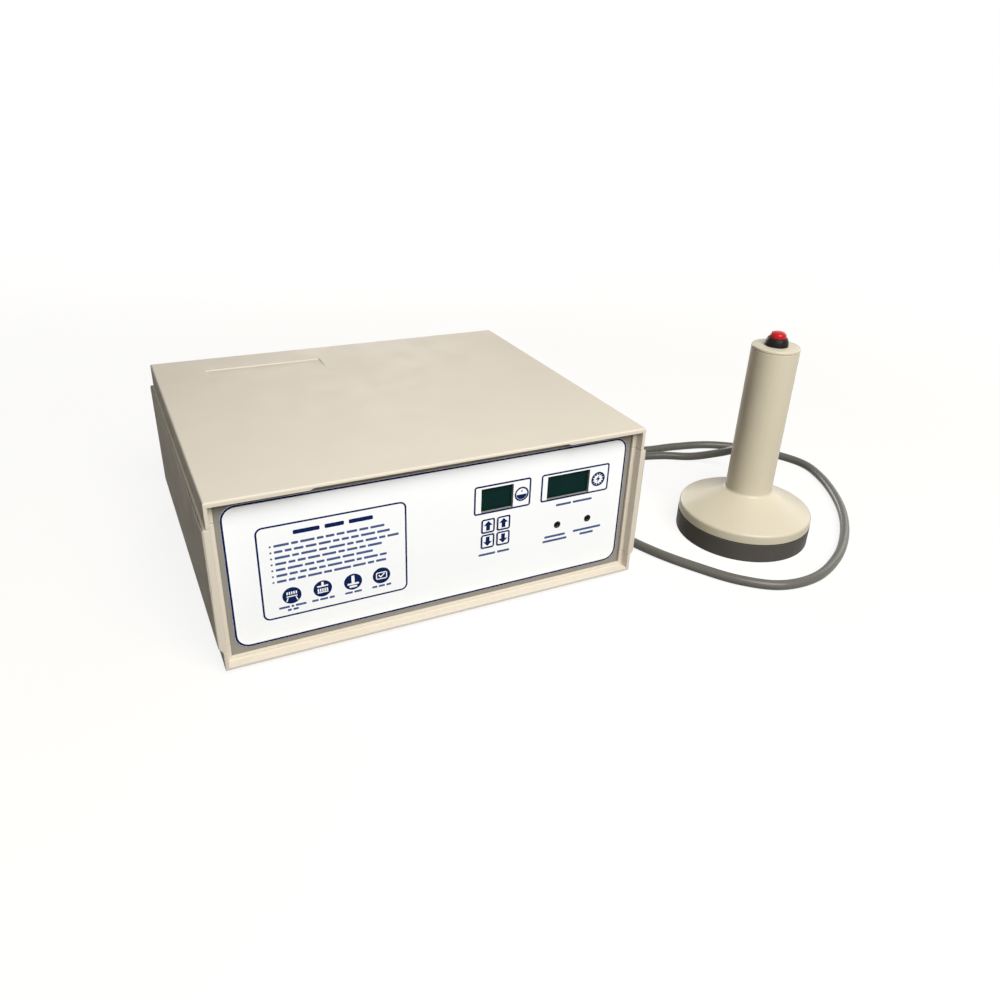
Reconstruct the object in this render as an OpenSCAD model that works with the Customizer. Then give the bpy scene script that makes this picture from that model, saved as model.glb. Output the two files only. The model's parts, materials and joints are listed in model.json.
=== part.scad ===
// Induction cap sealer: a bench power unit and a hand-held sealing head joined by a cable.
// Millimetres, +Z up. The origin lies on the bench, below the middle of unit and head together.

/* [Case] */
// Width of the case across cover and lower case
case_w = 352; // [342:1:400]
// Depth of the case from front edge to rear edge
case_d = 300; // [290:1:360]
// Height of the case without its feet
case_h = 138; // [136:1:170]
// Wall of the cover and of both skirts
wall = 2.8; // [2.5:0.1:4]
// Floor of the lower case
floor_t = 2.5; // [2:0.1:3.5]
// Height of the skirt of the lower case
skirt_low = 16; // [14:0.5:20]
// Height of the skirt of the cover
skirt_top = 20; // [16:0.5:24]
// Rounding of the outer edges of the cover
edge_r = 1.6; // [1:0.1:2.5]
// Gap that shows as a seam where two mouldings meet
seam = 0.3; // [0.1:0.05:0.5]
// Side clearance of pieces that slip into each other
slip = 0.2; // [0.1:0.05:0.4]
// Drop of the lip below the front and rear edges of the cover
lip_h = 1.3; // [1:0.1:2.4]
// Thickness of that lip
lip_t = 2.6; // [2:0.1:4]
// Width of the notch in the middle of the lip
notch_w = 204; // [150:1:280]
// Height of the rubber feet
foot_h = 4; // [3:0.5:10]
// Radius of a rubber foot
foot_r = 8; // [5:0.5:12]
// Distance of a foot from the side and end of the case
foot_inset = 26; // [20:1:28]

/* [Grip recess in the cover] */
// Width of the wedge-shaped recess
grip_w = 106; // [60:1:120]
// Length of its ramp
grip_l = 28; // [15:1:40]
// Depth at its rear wall
grip_deep = 1.2; // [0.5:0.1:1.6]
// Sideways place of its middle
grip_x = -78.5; // [-90:0.5:90]
// Distance of its rear wall from the rear edge
grip_back = 35; // [20:1:60]

/* [Side panels] */
// How far a side panel stands proud of the cover
side_proud = 3; // [2.5:0.5:5]
// Thickness of its outer plate
side_plate = 3; // [2.5:0.1:3.5]
// Thickness of its upper and lower rims
side_rim = 3; // [2.5:0.1:4]
// Height of the sloping lower edge
side_bevel = 4; // [2:0.5:6]
// Rounding of its upright outer edges
side_round = 1.5; // [0.5:0.1:2.5]
// Thickness of the tongues that reach behind the skirts
tongue_t = 1; // [0.8:0.1:2]
// Reach of the tongues behind the skirts
tongue_h = 5; // [3:0.5:8]

/* [Panel guides] */
// Depth from the case edge to the outer guide rib
panel_recess = 8; // [6:0.5:14]
// Thickness of a guide rib
guide_t = 2.5; // [1.5:0.1:4]
// Height of the guide ribs on floor and roof
guide_h = 2.6; // [2:0.1:4]
// Width of the upright guide ribs on the side walls
guide_side = 3.6; // [3:0.1:5]
// Thickness of the front and rear panels
panel_t = 2.6; // [1.5:0.1:3]

/* [Screw posts] */
// Radius of a screw post
post_r = 5.5; // [5:0.1:7]
// Distance of a post from the side of the case
post_in_x = 24; // [20:1:30]
// Distance of a post from the end of the case
post_in_y = 44; // [44:1:60]
// Height above the case bottom at which the posts of both halves meet
post_split = 46; // [40:1:70]
// Radius of a case screw
screw_r = 1.9; // [1.5:0.1:2.2]
// Radius of its head
screw_head_r = 3.5; // [3:0.1:4]
// Depth of the head below the case bottom
screw_sink = 12; // [6:1:20]
// Length of screw held in the upper post
screw_grip = 14; // [8:1:20]

/* [Front overlay] */
// Margin of the overlay at the left and right
overlay_side = 10.5; // [9:0.5:14]
// Margin of the overlay above the case bottom
overlay_low = 9.2; // [8:0.1:14]
// Margin of the overlay below the case top
overlay_up = 10.2; // [8:0.1:12]
// Corner radius of the overlay
overlay_r = 11; // [4:0.5:18]
// Thickness of the overlay
overlay_t = 0.5; // [0.3:0.05:1]
// Height of both display windows above the case bottom
window_z = 93.1; // [91:0.1:98]
// Height of both display windows
window_h = 21.4; // [16:0.2:22]
// Sideways place of the time window
time_x = 45.6; // [42:0.2:50]
// Width of the time window
time_w = 28.4; // [24:0.2:30]
// Sideways place of the voltage window
volt_x = 111.2; // [106:0.2:114]
// Width of the voltage window
volt_w = 40.2; // [34:0.2:42]
// Thickness of a window plate behind the panel
window_t = 1.5; // [1:0.1:3]
// Lap of a window plate round its opening
window_lap = 1.5; // [1:0.1:2]

/* [Keys and lamps] */
// Width of a key
key_w = 12.2; // [9:0.2:13]
// Height of a key
key_h = 13.2; // [10:0.2:13.4]
// Corner radius of a key
key_round = 2; // [0.5:0.1:4]
// Sideways spacing of the keys
key_pitch_x = 13.9; // [13.6:0.1:16]
// Upright spacing of the keys
key_pitch_z = 14.2; // [14:0.1:16]
// Sideways place of the middle of the key block
key_x = 45; // [42:0.5:50]
// Height of the middle of the key block
key_z = 63; // [58:0.5:64]
// How far a key stands proud of the overlay
key_proud = 0.3; // [0.1:0.1:0.8]
// Travel of a key
key_travel = 0.4; // [0.2:0.1:0.5]
// Radius of the stem behind a key
stem_r = 1.5; // [1:0.1:2]
// Sideways place of the middle between both lamps
lamp_x = 118; // [114:0.5:120]
// Spacing of both lamps
lamp_pitch = 29.7; // [24:0.1:34]
// Height of the lamps above the case bottom
lamp_z = 57; // [52:0.5:60]
// Radius of a lamp
lamp_r = 2.5; // [1.5:0.1:3]

/* [Fan] */
// Outer width of the fan frame
fan_w = 80; // [70:1:92]
// Depth of the fan frame
fan_t = 25; // [20:1:32]
// Radius of the air duct
duct_r = 37.5; // [32:0.5:38]
// Spacing of the fan screws
fan_pitch = 71.5; // [64:0.5:74]
// Sideways place of the fan
fan_x = -85; // [-100:1:-80]
// Height of the fan above the case bottom
fan_z = 68; // [60:1:76]
// Radius of the rotor hub
hub_r = 16; // [12:0.5:20]
// Number of blades
blade_n = 7; // [5:1:9]
// Thickness of a blade
blade_t = 1.5; // [1:0.1:2.5]
// Twist of a blade from edge to edge
blade_twist = 38; // [20:1:50]
// Gap between blade tips and duct
tip_gap = 1.5; // [0.8:0.1:3]
// Radius of the rotor shaft
shaft_r = 1.5; // [1:0.1:2.5]
// Radius of the wire of the guard
wire_r = 0.9; // [0.7:0.05:1.2]
// Number of rings in the guard
ring_n = 4; // [3:1:6]

/* [Rear fittings] */
// Sideways place of the power switch
rocker_x = 30; // [26:1:40]
// Height of switch and fuse above the case bottom
rocker_z = 92; // [88:1:98]
// Width of the rocker
rocker_w = 10.4; // [9:0.1:12]
// Length of the rocker
rocker_l = 17; // [15:0.1:20]
// Swing of the rocker from off to on, in degrees
rocker_swing = 20; // [10:1:24]
// Sideways place of the fuse holder
fuse_x = 80; // [74:1:90]
// Radius of the fuse carrier
fuse_r = 4; // [3:0.1:4.5]
// Sideways place of the mains inlet
inlet_x = 45; // [40:1:56]
// Height of the mains inlet above the case bottom
inlet_z = 45; // [40:1:52]
// Inside width of the mains socket
socket_w = 24.4; // [24:0.1:25]
// Inside height of the mains socket
socket_h = 16.6; // [16:0.1:17.5]
// Depth of the mains socket
socket_deep = 17; // [16:0.5:18]
// Sideways place of the output gland
gland_x = 128; // [122:1:134]
// Height of the output gland above the case bottom
gland_z = 36; // [30:1:50]

/* [Electronics] */
// Width of the power board
board_w = 220; // [210:1:240]
// Depth of the power board
board_d = 150; // [140:1:160]
// Thickness of a circuit board
board_t = 1.6; // [1:0.1:2.4]
// Height of the bosses below the power board
boss_h = 8; // [6:0.5:12]
// Length of the heat sink
sink_l = 136; // [130:1:150]
// Height of the heat sink
sink_h = 52; // [44:1:60]
// Length of its fins
fin_l = 24; // [16:1:28]
// Number of its fins
fin_n = 7; // [5:1:9]
// Radius of a filter capacitor
cap_r = 15; // [12:0.5:17]
// Height of a filter capacitor
cap_h = 46; // [35:1:60]
// Width of the transformer core
core_w = 56; // [50:1:62]
// Height of the transformer core
core_h = 47; // [40:1:55]
// Thickness of the transformer core
core_t = 20; // [16:1:24]
// Depth of a display module
display_t = 7; // [6.6:0.2:9]

/* [Sealing head] */
// Sideways distance of the head from the middle of the unit
handset_dx = 326.8; // [300:0.2:380]
// Distance of the head behind the front edge of the case
handset_dy = 24.2; // [0:0.2:80]
// Radius of the coil base
base_r = 63.2; // [62:0.1:70]
// Height of the coil base
base_h = 18.8; // [17:0.1:24]
// Wall of the coil base
base_wall = 3; // [2.5:0.1:4]
// Radius of the rim of the bell
rim_r = 62.8; // [60:0.1:70]
// Height of the upper edge of the rim
rim_z = 27.8; // [26:0.1:34]
// Rounding of that edge
rim_round = 3; // [1:0.1:6]
// Height at which the cone meets the handle
cone_z = 47.5; // [44:0.1:60]
// Rounding between cone and handle
cone_fillet = 3.5; // [2:0.1:10]
// Radius of the handle at its foot
handle_r = 21.8; // [19:0.1:25]
// Radius of the handle at its top
grip_r = 21.4; // [18:0.1:24]
// Wall of bell and handle
shell_t = 3; // [2.5:0.1:4]
// Height of the top of the end cap
handset_h = 189.7; // [150:0.1:220]
// Thickness of the end cap
endcap_t = 2.6; // [2:0.1:5]
// Direction in which the cable leaves the head, in degrees
outlet_turn = 48; // [30:1:70]
// Height of the cable outlet
outlet_z = 40; // [38:0.5:42]
// Distance of the outlet seat from the head axis
outlet_reach = 60; // [56:0.5:66]

/* [Seal button] */
// Radius of the button
button_r = 7.2; // [5:0.1:9]
// Height of the button over its collar
button_up = 4.3; // [3.5:0.1:6]
// Travel of the button
button_travel = 2.5; // [1:0.1:3]
// Height of the collar
collar_h = 8.5; // [6:0.1:10]
// Radius of the foot of the collar
collar_r = 10.4; // [10:0.1:13]
// Rounding of the button's upper edge
button_round = 3.4; // [1:0.1:5]
// Clearance round the button
button_gap = 0.2; // [0.1:0.05:0.4]

/* [Coil] */
// Inner radius of the coil
coil_in = 12; // [8:0.5:16]
// Turns of the coil
coil_turns = 6; // [4:1:7]
// Spacing of the turns
coil_pitch = 5.4; // [4.5:0.1:5.8]
// Thickness of the wire
coil_wire = 4.4; // [3:0.1:4.4]
// Number of ferrite bars
bar_n = 6; // [4:1:8]

/* [Cable] */
// Diameter of the cable
cable_d = 9; // [6:0.5:10]
// Length of the boot on a gland
boot_l = 28; // [20:1:40]
// Depth of cable held in a boot
boot_hold = 20; // [12:1:20]
// Flat-to-flat size of a gland's hexagon
gland_flats = 18; // [17:0.5:20]

/* [Hidden] */
$fn = 48;

beige = "#ddd6c2";
pale = "#e6e0cf";
dark_grey = "#4f4d4a";
cable_grey = "#6b6863";
black = "#1c1c1c";
steel = "#b9bcc0";
copper = "#b4703a";
ferrite = "#33343a";
board_green = "#2f6b46";

// Case levels
half_w = case_w / 2;
z0 = foot_h;
z_floor = z0 + floor_t;
z_top = z0 + case_h;
z_roof = z_top - wall;

// Side panels
side_x = half_w + side_proud;
side_in = half_w - wall;
tongue_x = side_in - slip - tongue_t;
side_z0 = z0 + skirt_low + seam;
side_z1 = z_top - skirt_top - seam;
side_top_bevel = 1;

// Front and rear panels in their guides
slot = panel_t + 2 * slip;
guide_y2 = panel_recess + guide_t + slot;
guide_end = guide_y2 + guide_t;
tongue_y = guide_end + 2;
guide_x = side_in - guide_side;
panel_y = panel_recess + guide_t + slip;
panel_back = panel_y + panel_t;
panel_half = side_in - slip;
rear_in = case_d - panel_back;
rear_out = case_d - panel_y;

// Frame: middle of unit and head together
unit_x = -(handset_dx + base_r - side_x) / 2;
unit_y = -(handset_dy - base_r + case_d) / 2;
head_x = unit_x + handset_dx;
head_y = unit_y + handset_dy;

// Posts and screws
post_x = half_w - post_in_x;
post_z = z0 + post_split;
screw_seat = z0 + screw_sink;
screw_head_h = 2.4;
bore_gap = 0.3;
thread_gap = 0.1;

// Vents in the floor
vent_n = 9;
vent_w = 3;
vent_l = 26;
vent_pitch = 8;
vent_x = 75;
vent_y = 26;

// Overlay, keys and lamps
overlay_w = case_w - 2 * overlay_side;
overlay_z0 = z0 + overlay_low;
overlay_z1 = z_top - overlay_up;
overlay_y = panel_y - overlay_t;
key_seat = 0.1;
key_pocket = key_seat + key_travel + slip;
stem_out = 1.5;
lamp_gap = 0.3;

// Control board behind the front panel
display_gap = 0.5;
display_over = 1.5;
board_edge = 11;
ctrl_y = panel_back + window_t + display_gap + display_t;
ctrl_x0 = min(time_x - time_w / 2, key_x - (key_pitch_x + key_w) / 2) - board_edge;
ctrl_x1 = volt_x + volt_w / 2 + board_edge;
ctrl_z0 = key_z - (key_pitch_z + key_h) / 2 - board_edge;
ctrl_z1 = window_z + window_h / 2 + board_edge;
spacer_r = 3;
spacer_in = 5;
switch_w = 6;
switch_body = 3.4;
switch_y = panel_back + stem_out + key_travel + slip;

// Fan
fan_y = rear_in - fan_t;
fan_hole_r = 2.2;
fan_screw_r = 1.9;
motor_t = 3.5;
strut_w = 5;
bearing_r = 4;
bearing_gap = 0.05;
hub_wall = 1.5;
hub_gap = 1.2;
blade_low = 3;
blade_h = fan_t - motor_t - hub_gap - blade_low - 2;
blade_root = 1;
guard_off = 3;
guard_y = rear_out + guard_off;
pan_r = 3.6;
pan_h = 2.2;
fan_screw_l = 14;

// Power switch
bezel_t = 2;
bezel_lip = 1.6;
rocker_side = 0.2;
rocker_wall = 1.1;
rocker_open_w = rocker_w + 2 * rocker_side;
rocker_open_l = rocker_l + 2;
rocker_body_w = rocker_open_w + 2 * rocker_wall;
rocker_body_l = rocker_open_l + 2 * rocker_wall;
rocker_deep = 16;
rocker_pivot = rear_out - 1;
pivot_r = 1.2;
spade_w = 6.3;
spade_t = 0.8;
spade_l = 8;

// Fuse holder
fuse_wall = 2;
fuse_flange_r = fuse_r + fuse_wall + 2.5;
fuse_flange_t = 2;
fuse_l = 34;
fuse_bore = 26;
fuse_head_r = fuse_r + 3;
fuse_head_h = 6.5;
fuse_carrier = 18;
run_gap = 0.05;

// Mains inlet
inlet_wall = 1.6;
inlet_body_w = socket_w + 2 * inlet_wall;
inlet_body_h = socket_h + 2 * inlet_wall;
inlet_flange_w = 50;
inlet_flange_h = 24;
inlet_flange_t = 2.5;
inlet_pitch = 40;
inlet_screw_r = 1.5;
inlet_screw_l = 9;
socket_corner = 4;
pin_w = 2;
pin_h = 4;
pin_pitch = 7;
pin_rise = 4;
pin_l = 11;
pin_tail = 8;

// Glands
gland_hex_t = 6;
gland_spigot_r = 6.6;
gland_spigot_l = 10;
gland_nut_t = 5;
boot_r0 = 7.6;
boot_r1 = cable_d / 2 + 1.6;
boot_rings = 4;
gland_l = gland_hex_t + boot_l;
cable_gap = 0.2;

// Power board
board_z = z_floor + boss_h;
board_x = -18;
board_y = (guide_end + fan_y) / 2 + 6;
board_top = board_z + board_t;
board_in = 8;
board_boss_r = 4.5;
board_hole_r = 1.7;
sink_plate = 6;
fin_t = 2;
sink_y = board_y + board_d / 2 - fin_l - sink_plate - 6;
chip_w = 16;
chip_h = 21;
chip_t = 5;
chip_pitch = 22;
chip_up = 7;
leg_w = 1.2;
leg_pitch = 5.4;
bridge_w = 30;
bridge_gap = 6;
chip_in = 14;
leg_t = 0.8;
cap_in_x = 18;
cap_in_y = 16;
cap_gap = 4;
core_in_x = 6;
core_in_y = -22;
board_screw_l = 7;
board_head_lap = 1.4;
board_head_h = 2;
film_w = 46;
film_d = 22;
film_h = 36;
film_round = 3;
film_in_x = 17;
film_in_y = 13;

// Sealing head
base_floor = 3;
base_seat = base_h + seam;
bar_w = 10;
bar_t = 6;
lug_r = 4.5;
lug_ring = base_r - base_wall - lug_r - 2.5;
lug_n = 3;
head_screw_r = 1.7;
head_screw_head = 3.4;
head_screw_head_h = 1.8;
head_screw_up = 7;
cone_turn = atan2(rim_r - handle_r, cone_z - rim_z);
handle_top = handset_h - endcap_t - seam;
outlet_boss_r = 10.4;
barrel_r = 8;
barrel_l = 14;
spigot_l = 7;
spigot_wall = 2;
button_nut_t = 3;
button_nut_lap = 4;
tab_l = 5;
tab_w = 2.8;
tab_t = 0.8;
tab_x = 3;
collar_top_r = button_r + button_gap + 1.4;
collar_floor = 1;
button_rest = 0.3;
button_low = handset_h + collar_floor + button_travel + button_rest;
button_stem_r = 3;
button_crown = 0.6;
contact_l = 22;

// Route of the cable on the bench, between the two glands
lie = cable_d / 2 + 0.1;
route_mid = [
    [27, 232, 33], [45, 252, 19], [73, 258, 8], [102, 246, lie], [126, 218, lie], [145, 182, lie],
    [165, 144, lie], [193, 107, lie], [232, 84, lie], [276, 78, lie], [318, 68, lie], [352, 46, lie],
    [377, 15, lie], [390, -18, lie], [384, -50, lie], [366, -88, lie], [340, -126, lie],
    [306, -161, lie], [266, -190, lie], [222, -208, lie], [182, -206, lie], [152, -184, lie],
    [130, -152, lie], [111, -116, lie], [97, -74, lie], [91, -30, lie], [100, 16, lie],
    [129, 51, lie], [170, 67, lie], [212, 70, lie], [248, 62, lie], [276, 43, 7], [297, 20, 18],
    [304, -4, 32]
];
run_out = 12;
cable_sides = 10;

// Placing helpers

module on_unit() translate([unit_x, unit_y, 0]) children();

module on_head() translate([head_x, head_y, 0]) children();

module both_sides() {
    children();
    mirror([1, 0, 0]) children();
}

module both_ends() {
    children();
    translate([0, case_d, 0]) mirror([0, 1, 0]) children();
}

// A plan of (x, z) stretched along Y
module along_y(y, l) translate([0, y + l, 0]) rotate([90, 0, 0]) linear_extrude(l) children();

// A plan of (y, z) stretched along X
module along_x(x, l) translate([x, 0, 0]) rotate([90, 0, 90]) linear_extrude(l) children();

// A round bar along Y from a point
module rod_y(p, r, l) translate(p) rotate([-90, 0, 0]) cylinder(r = r, h = l);

module box(low, high) translate(low) cube(high - low);

module round_rect(w, h, r) {
    square([w - 2 * r, h], center = true);
    square([w, h - 2 * r], center = true);
    for (x = [-1, 1], y = [-1, 1])
        translate([x * (w / 2 - r), y * (h / 2 - r)]) circle(r);
}

// A block of width w from z = low to z = high with its two upper corners rounded
module round_top(w, low, high, r) {
    translate([-w / 2, low]) square([w, high - r - low]);
    translate([-w / 2 + r, low]) square([w - 2 * r, high - low]);
    for (x = [-1, 1]) translate([x * (w / 2 - r), high - r]) circle(r);
}

module at_posts() for (x = [-1, 1], y = [post_in_y, case_d - post_in_y])
    translate([x * post_x, y, 0]) children();

module at_feet() for (x = [-1, 1], y = [foot_inset, case_d - foot_inset])
    translate([x * (half_w - foot_inset), y, 0]) children();

module at_board_corners() for (x = [-1, 1], y = [-1, 1])
    translate([board_x + x * (board_w / 2 - board_in), board_y + y * (board_d / 2 - board_in), 0]) children();

module at_keys() for (x = [-1, 1], z = [-1, 1]) at_key(x, z) children();

module at_key(x, z)
    translate([key_x + x * key_pitch_x / 2, 0, z0 + key_z + z * key_pitch_z / 2]) children();

module at_lamp(side) translate([lamp_x + side * lamp_pitch / 2, 0, z0 + lamp_z]) children();

module at_fan() translate([fan_x, 0, z0 + fan_z]) children();

module at_fan_screws() at_fan() for (x = [-1, 1], z = [-1, 1])
    translate([x * fan_pitch / 2, 0, z * fan_pitch / 2]) children();

module at_inlet() translate([inlet_x, 0, z0 + inlet_z]) children();

module at_inlet_screws() at_inlet() for (x = [-1, 1]) translate([x * inlet_pitch / 2, 0, 0]) children();

module at_rocker() translate([rocker_x, rocker_pivot, z0 + rocker_z]) children();

module at_fuse() translate([fuse_x, 0, z0 + rocker_z]) children();

module at_lugs() for (i = [0:lug_n - 1]) rotate(i * 360 / lug_n + 18) translate([lug_ring, 0, 0]) children();

// Case

// Two ribs that hold a panel between them, from x = low to x = high
module guide_pair(low, high, zlow, zhigh) for (y = [panel_recess, guide_y2])
    box([low, y, zlow], [high, y + guide_t, zhigh]);

module lower_case() color(beige) on_unit() difference() {
    union() {
        along_y(0, case_d) difference() {
            translate([-half_w, z0]) square([case_w, skirt_low]);
            translate([-side_in, z_floor]) square([2 * side_in, skirt_low]);
        }
        both_ends() {
            guide_pair(-side_in, side_in, z_floor, z_floor + guide_h);
            both_sides() guide_pair(guide_x, side_in, z_floor, z0 + skirt_low);
        }
        at_posts() translate([0, 0, z0 + floor_t / 2]) cylinder(r = post_r, h = post_z - z0 - floor_t / 2);
        at_board_corners()
            translate([0, 0, z0 + floor_t / 2]) cylinder(r = board_boss_r, h = board_z - z0 - floor_t / 2);
    }
    at_posts() {
        translate([0, 0, z0 - 1]) cylinder(r = screw_head_r + bore_gap, h = screw_sink + 1);
        translate([0, 0, z0]) cylinder(r = screw_r + bore_gap, h = post_split + 1);
    }
    at_board_corners() translate([0, 0, z_floor]) cylinder(r = board_hole_r - thread_gap, h = boss_h + 1);
    both_sides() for (i = [0:vent_n - 1]) {
        x = vent_x + (i - (vent_n - 1) / 2) * vent_pitch;
        box([x - vent_w / 2, vent_y, z0 - 1], [x + vent_w / 2, vent_y + vent_l, z_floor + 1]);
    }
}

module cover_shell() intersection() {
    along_y(0, case_d) difference() {
        round_top(case_w, z_top - skirt_top, z_top, edge_r);
        translate([-side_in, z_top - skirt_top - 1]) square([2 * side_in, skirt_top - wall + 1]);
    }
    along_x(-half_w, case_w) translate([case_d / 2, 0]) round_top(case_d, z0, z_top, edge_r);
}

// Lip below one end of the cover, with sloping ends at the notch
module cover_lip() both_sides() along_y(0, lip_t) polygon([
    [notch_w / 2, z_roof], [notch_w / 2 + 2 * lip_h, z_roof - lip_h],
    [side_in, z_roof - lip_h], [side_in, z_roof]
]);

module upper_case() color(beige) on_unit() difference() {
    union() {
        cover_shell();
        both_ends() {
            cover_lip();
            guide_pair(-side_in, side_in, z_roof - guide_h, z_roof);
            both_sides() guide_pair(guide_x, side_in, z_top - skirt_top, z_roof);
        }
        at_posts() translate([0, 0, post_z]) cylinder(r = post_r, h = z_roof + wall / 2 - post_z);
    }
    at_posts() translate([0, 0, post_z - 1]) cylinder(r = screw_r + thread_gap, h = screw_grip + 3);
    grip_y = case_d - grip_back;
    along_x(grip_x - grip_w / 2, grip_w) polygon([
        [grip_y - grip_l, z_top], [grip_y, z_top - grip_deep],
        [grip_y, z_top + 1], [grip_y - grip_l, z_top + 1]
    ]);
}

module side_panel() {
    inner = half_w + side_proud - side_plate;
    difference() {
        intersection() {
            along_y(0, case_d) polygon([
                [side_in, side_z0], [half_w, side_z0], [side_x, side_z0 + side_bevel],
                [side_x, side_z1 - side_top_bevel], [side_x - side_top_bevel, side_z1], [side_in, side_z1]
            ]);
            translate([0, case_d / 2, side_z0 - 1]) linear_extrude(side_z1 - side_z0 + 2)
                round_rect(2 * side_x, case_d, side_round);
        }
        box([side_in - 1, guide_end, side_z0 + side_rim], [inner, case_d - guide_end, side_z1 - side_rim]);
    }
    both_ends() guide_pair(guide_x, inner, side_z0, side_z1);
    for (z = [[side_z0 - tongue_h, side_z0 + side_rim], [side_z1 - side_rim, side_z1 + tongue_h]])
        box([tongue_x, tongue_y, z[0]], [tongue_x + tongue_t, case_d - tongue_y, z[1]]);
    for (z = [side_z0, side_z1 - side_rim])
        box([tongue_x, tongue_y, z], [side_in, case_d - tongue_y, z + side_rim]);
}

module side_panel_right() color(beige) on_unit() side_panel();

module side_panel_left() color(beige) on_unit() mirror([1, 0, 0]) side_panel();

module rubber_feet() color(black) on_unit() at_feet() rotate_extrude() polygon([
    [0, 0], [foot_r - 1.5, 0], [foot_r - 0.8, 0.6], [foot_r, foot_h], [0, foot_h]
]);

module case_screws() color(steel) on_unit() at_posts() {
    translate([0, 0, screw_seat - screw_head_h]) difference() {
        cylinder(r = screw_head_r, h = screw_head_h);
        for (turn = [0, 90]) rotate(turn) translate([-2, -0.4, -1]) cube([4, 0.8, 2.2]);
    }
    translate([0, 0, screw_seat]) cylinder(r = screw_r, h = post_z - screw_seat + screw_grip);
}

// Front panel group

module panel_plan() translate([-panel_half, z_floor + slip])
    square([2 * panel_half, z_roof - z_floor - 2 * slip]);

module window_plan(x, w, grow) translate([x, z0 + window_z])
    square([w + 2 * grow, window_h + 2 * grow], center = true);

module front_panel() color(pale) on_unit() difference() {
    along_y(panel_y, panel_t) difference() {
        panel_plan();
        window_plan(time_x, time_w, 0);
        window_plan(volt_x, volt_w, 0);
    }
    at_keys() {
        along_y(panel_y - 1, key_pocket + 1) round_rect(key_w + 2 * slip, key_h + 2 * slip, key_round);
        rod_y([0, panel_y, 0], stem_r + slip, panel_t + 1);
    }
    for (side = [-1, 1]) at_lamp(side) rod_y([0, panel_y - 1, 0], lamp_r + lamp_gap, panel_t + 2);
}

module front_overlay() color("white") on_unit() difference() {
    along_y(overlay_y, overlay_t) difference() {
        translate([0, (overlay_z0 + overlay_z1) / 2])
            round_rect(overlay_w, overlay_z1 - overlay_z0, overlay_r);
        window_plan(time_x, time_w, 0);
        window_plan(volt_x, volt_w, 0);
    }
    at_keys() along_y(overlay_y - 1, overlay_t + 2)
        round_rect(key_w + 2 * slip, key_h + 2 * slip, key_round);
    for (side = [-1, 1]) at_lamp(side) rod_y([0, overlay_y - 1, 0], lamp_r + lamp_gap, overlay_t + 2);
}

module window(x, w) color("#101d18") on_unit() along_y(panel_back, window_t) window_plan(x, w, window_lap);

module time_window() window(time_x, time_w);

module voltage_window() window(volt_x, volt_w);

// Digit block of n places on the control board
module display(x, w, n) color("#15181a") on_unit() difference() {
    along_y(ctrl_y - display_t, display_t) window_plan(x, w, display_over);
    for (i = [0:n - 1], up = [-1, 1]) {
        px = x + (i - (n - 1) / 2) * w / n;
        pz = z0 + window_z + up * window_h / 5;
        along_y(ctrl_y - display_t - 1, 1.2) translate([px, pz])
            difference() {
                square([w / n * 0.62, window_h * 0.36], center = true);
                square([w / n * 0.38, window_h * 0.2], center = true);
            }
    }
}

module time_display() display(time_x, time_w, 2);

module voltage_display() display(volt_x, volt_w, 3);

module control_board() color(board_green) on_unit()
    box([ctrl_x0, ctrl_y, z0 + ctrl_z0], [ctrl_x1, ctrl_y + board_t, z0 + ctrl_z1]);

module board_spacers() color(steel) on_unit()
    for (x = [ctrl_x0 + spacer_in, ctrl_x1 - spacer_in], z = [ctrl_z0 + spacer_in, ctrl_z1 - spacer_in])
        rod_y([x, panel_back, z0 + z], spacer_r, ctrl_y - panel_back);

module key_switches() color(black) on_unit() at_keys() {
    along_y(ctrl_y - switch_body, switch_body) square(switch_w, center = true);
    rod_y([0, switch_y, 0], stem_r, ctrl_y - switch_body - switch_y);
}

module key(x, z) color("white") on_unit() at_key(x, z) {
    along_y(overlay_y - key_proud, overlay_t + key_proud + key_seat) round_rect(key_w, key_h, key_round);
    rod_y([0, panel_y + key_seat, 0], stem_r, panel_t - key_seat + stem_out);
}

module key_tens_up() key(-1, 1);

module key_units_up() key(1, 1);

module key_tens_down() key(-1, -1);

module key_units_down() key(1, -1);

module lamp(side) color("#3a1010") on_unit() at_lamp(side) translate([0, ctrl_y, 0]) rotate([90, 0, 0])
    rotate_extrude() polygon([
        [0, 0], [lamp_r + lamp_gap, 0], [lamp_r + lamp_gap, 1], [lamp_r, 1],
        each [for (a = [0:15:90]) [lamp_r * cos(a), ctrl_y - overlay_y - lamp_r + lamp_r * sin(a)]]
    ]);

module overheat_lamp() lamp(-1);

module overcurrent_lamp() lamp(1);

// Power board and what stands on it

module power_board() color(board_green) on_unit() difference() {
    translate([board_x, board_y, board_z]) linear_extrude(board_t) square([board_w, board_d], center = true);
    at_board_corners() translate([0, 0, board_z - 1]) cylinder(r = board_hole_r, h = board_t + 2);
}

module board_screws() color(steel) on_unit() at_board_corners() {
    translate([0, 0, board_top]) cylinder(r = board_hole_r + board_head_lap, h = board_head_h);
    translate([0, 0, board_top - board_screw_l])
        cylinder(r = board_hole_r - 2 * thread_gap, h = board_screw_l);
}

module heat_sink() color(steel) on_unit() along_x(board_x - sink_l / 2, sink_l)
    translate([sink_y, board_top]) {
        square([sink_plate, sink_h]);
        for (i = [0:fin_n - 1])
            translate([0, i * (sink_h - fin_t) / (fin_n - 1)]) square([sink_plate + fin_l, fin_t]);
    }

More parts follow.
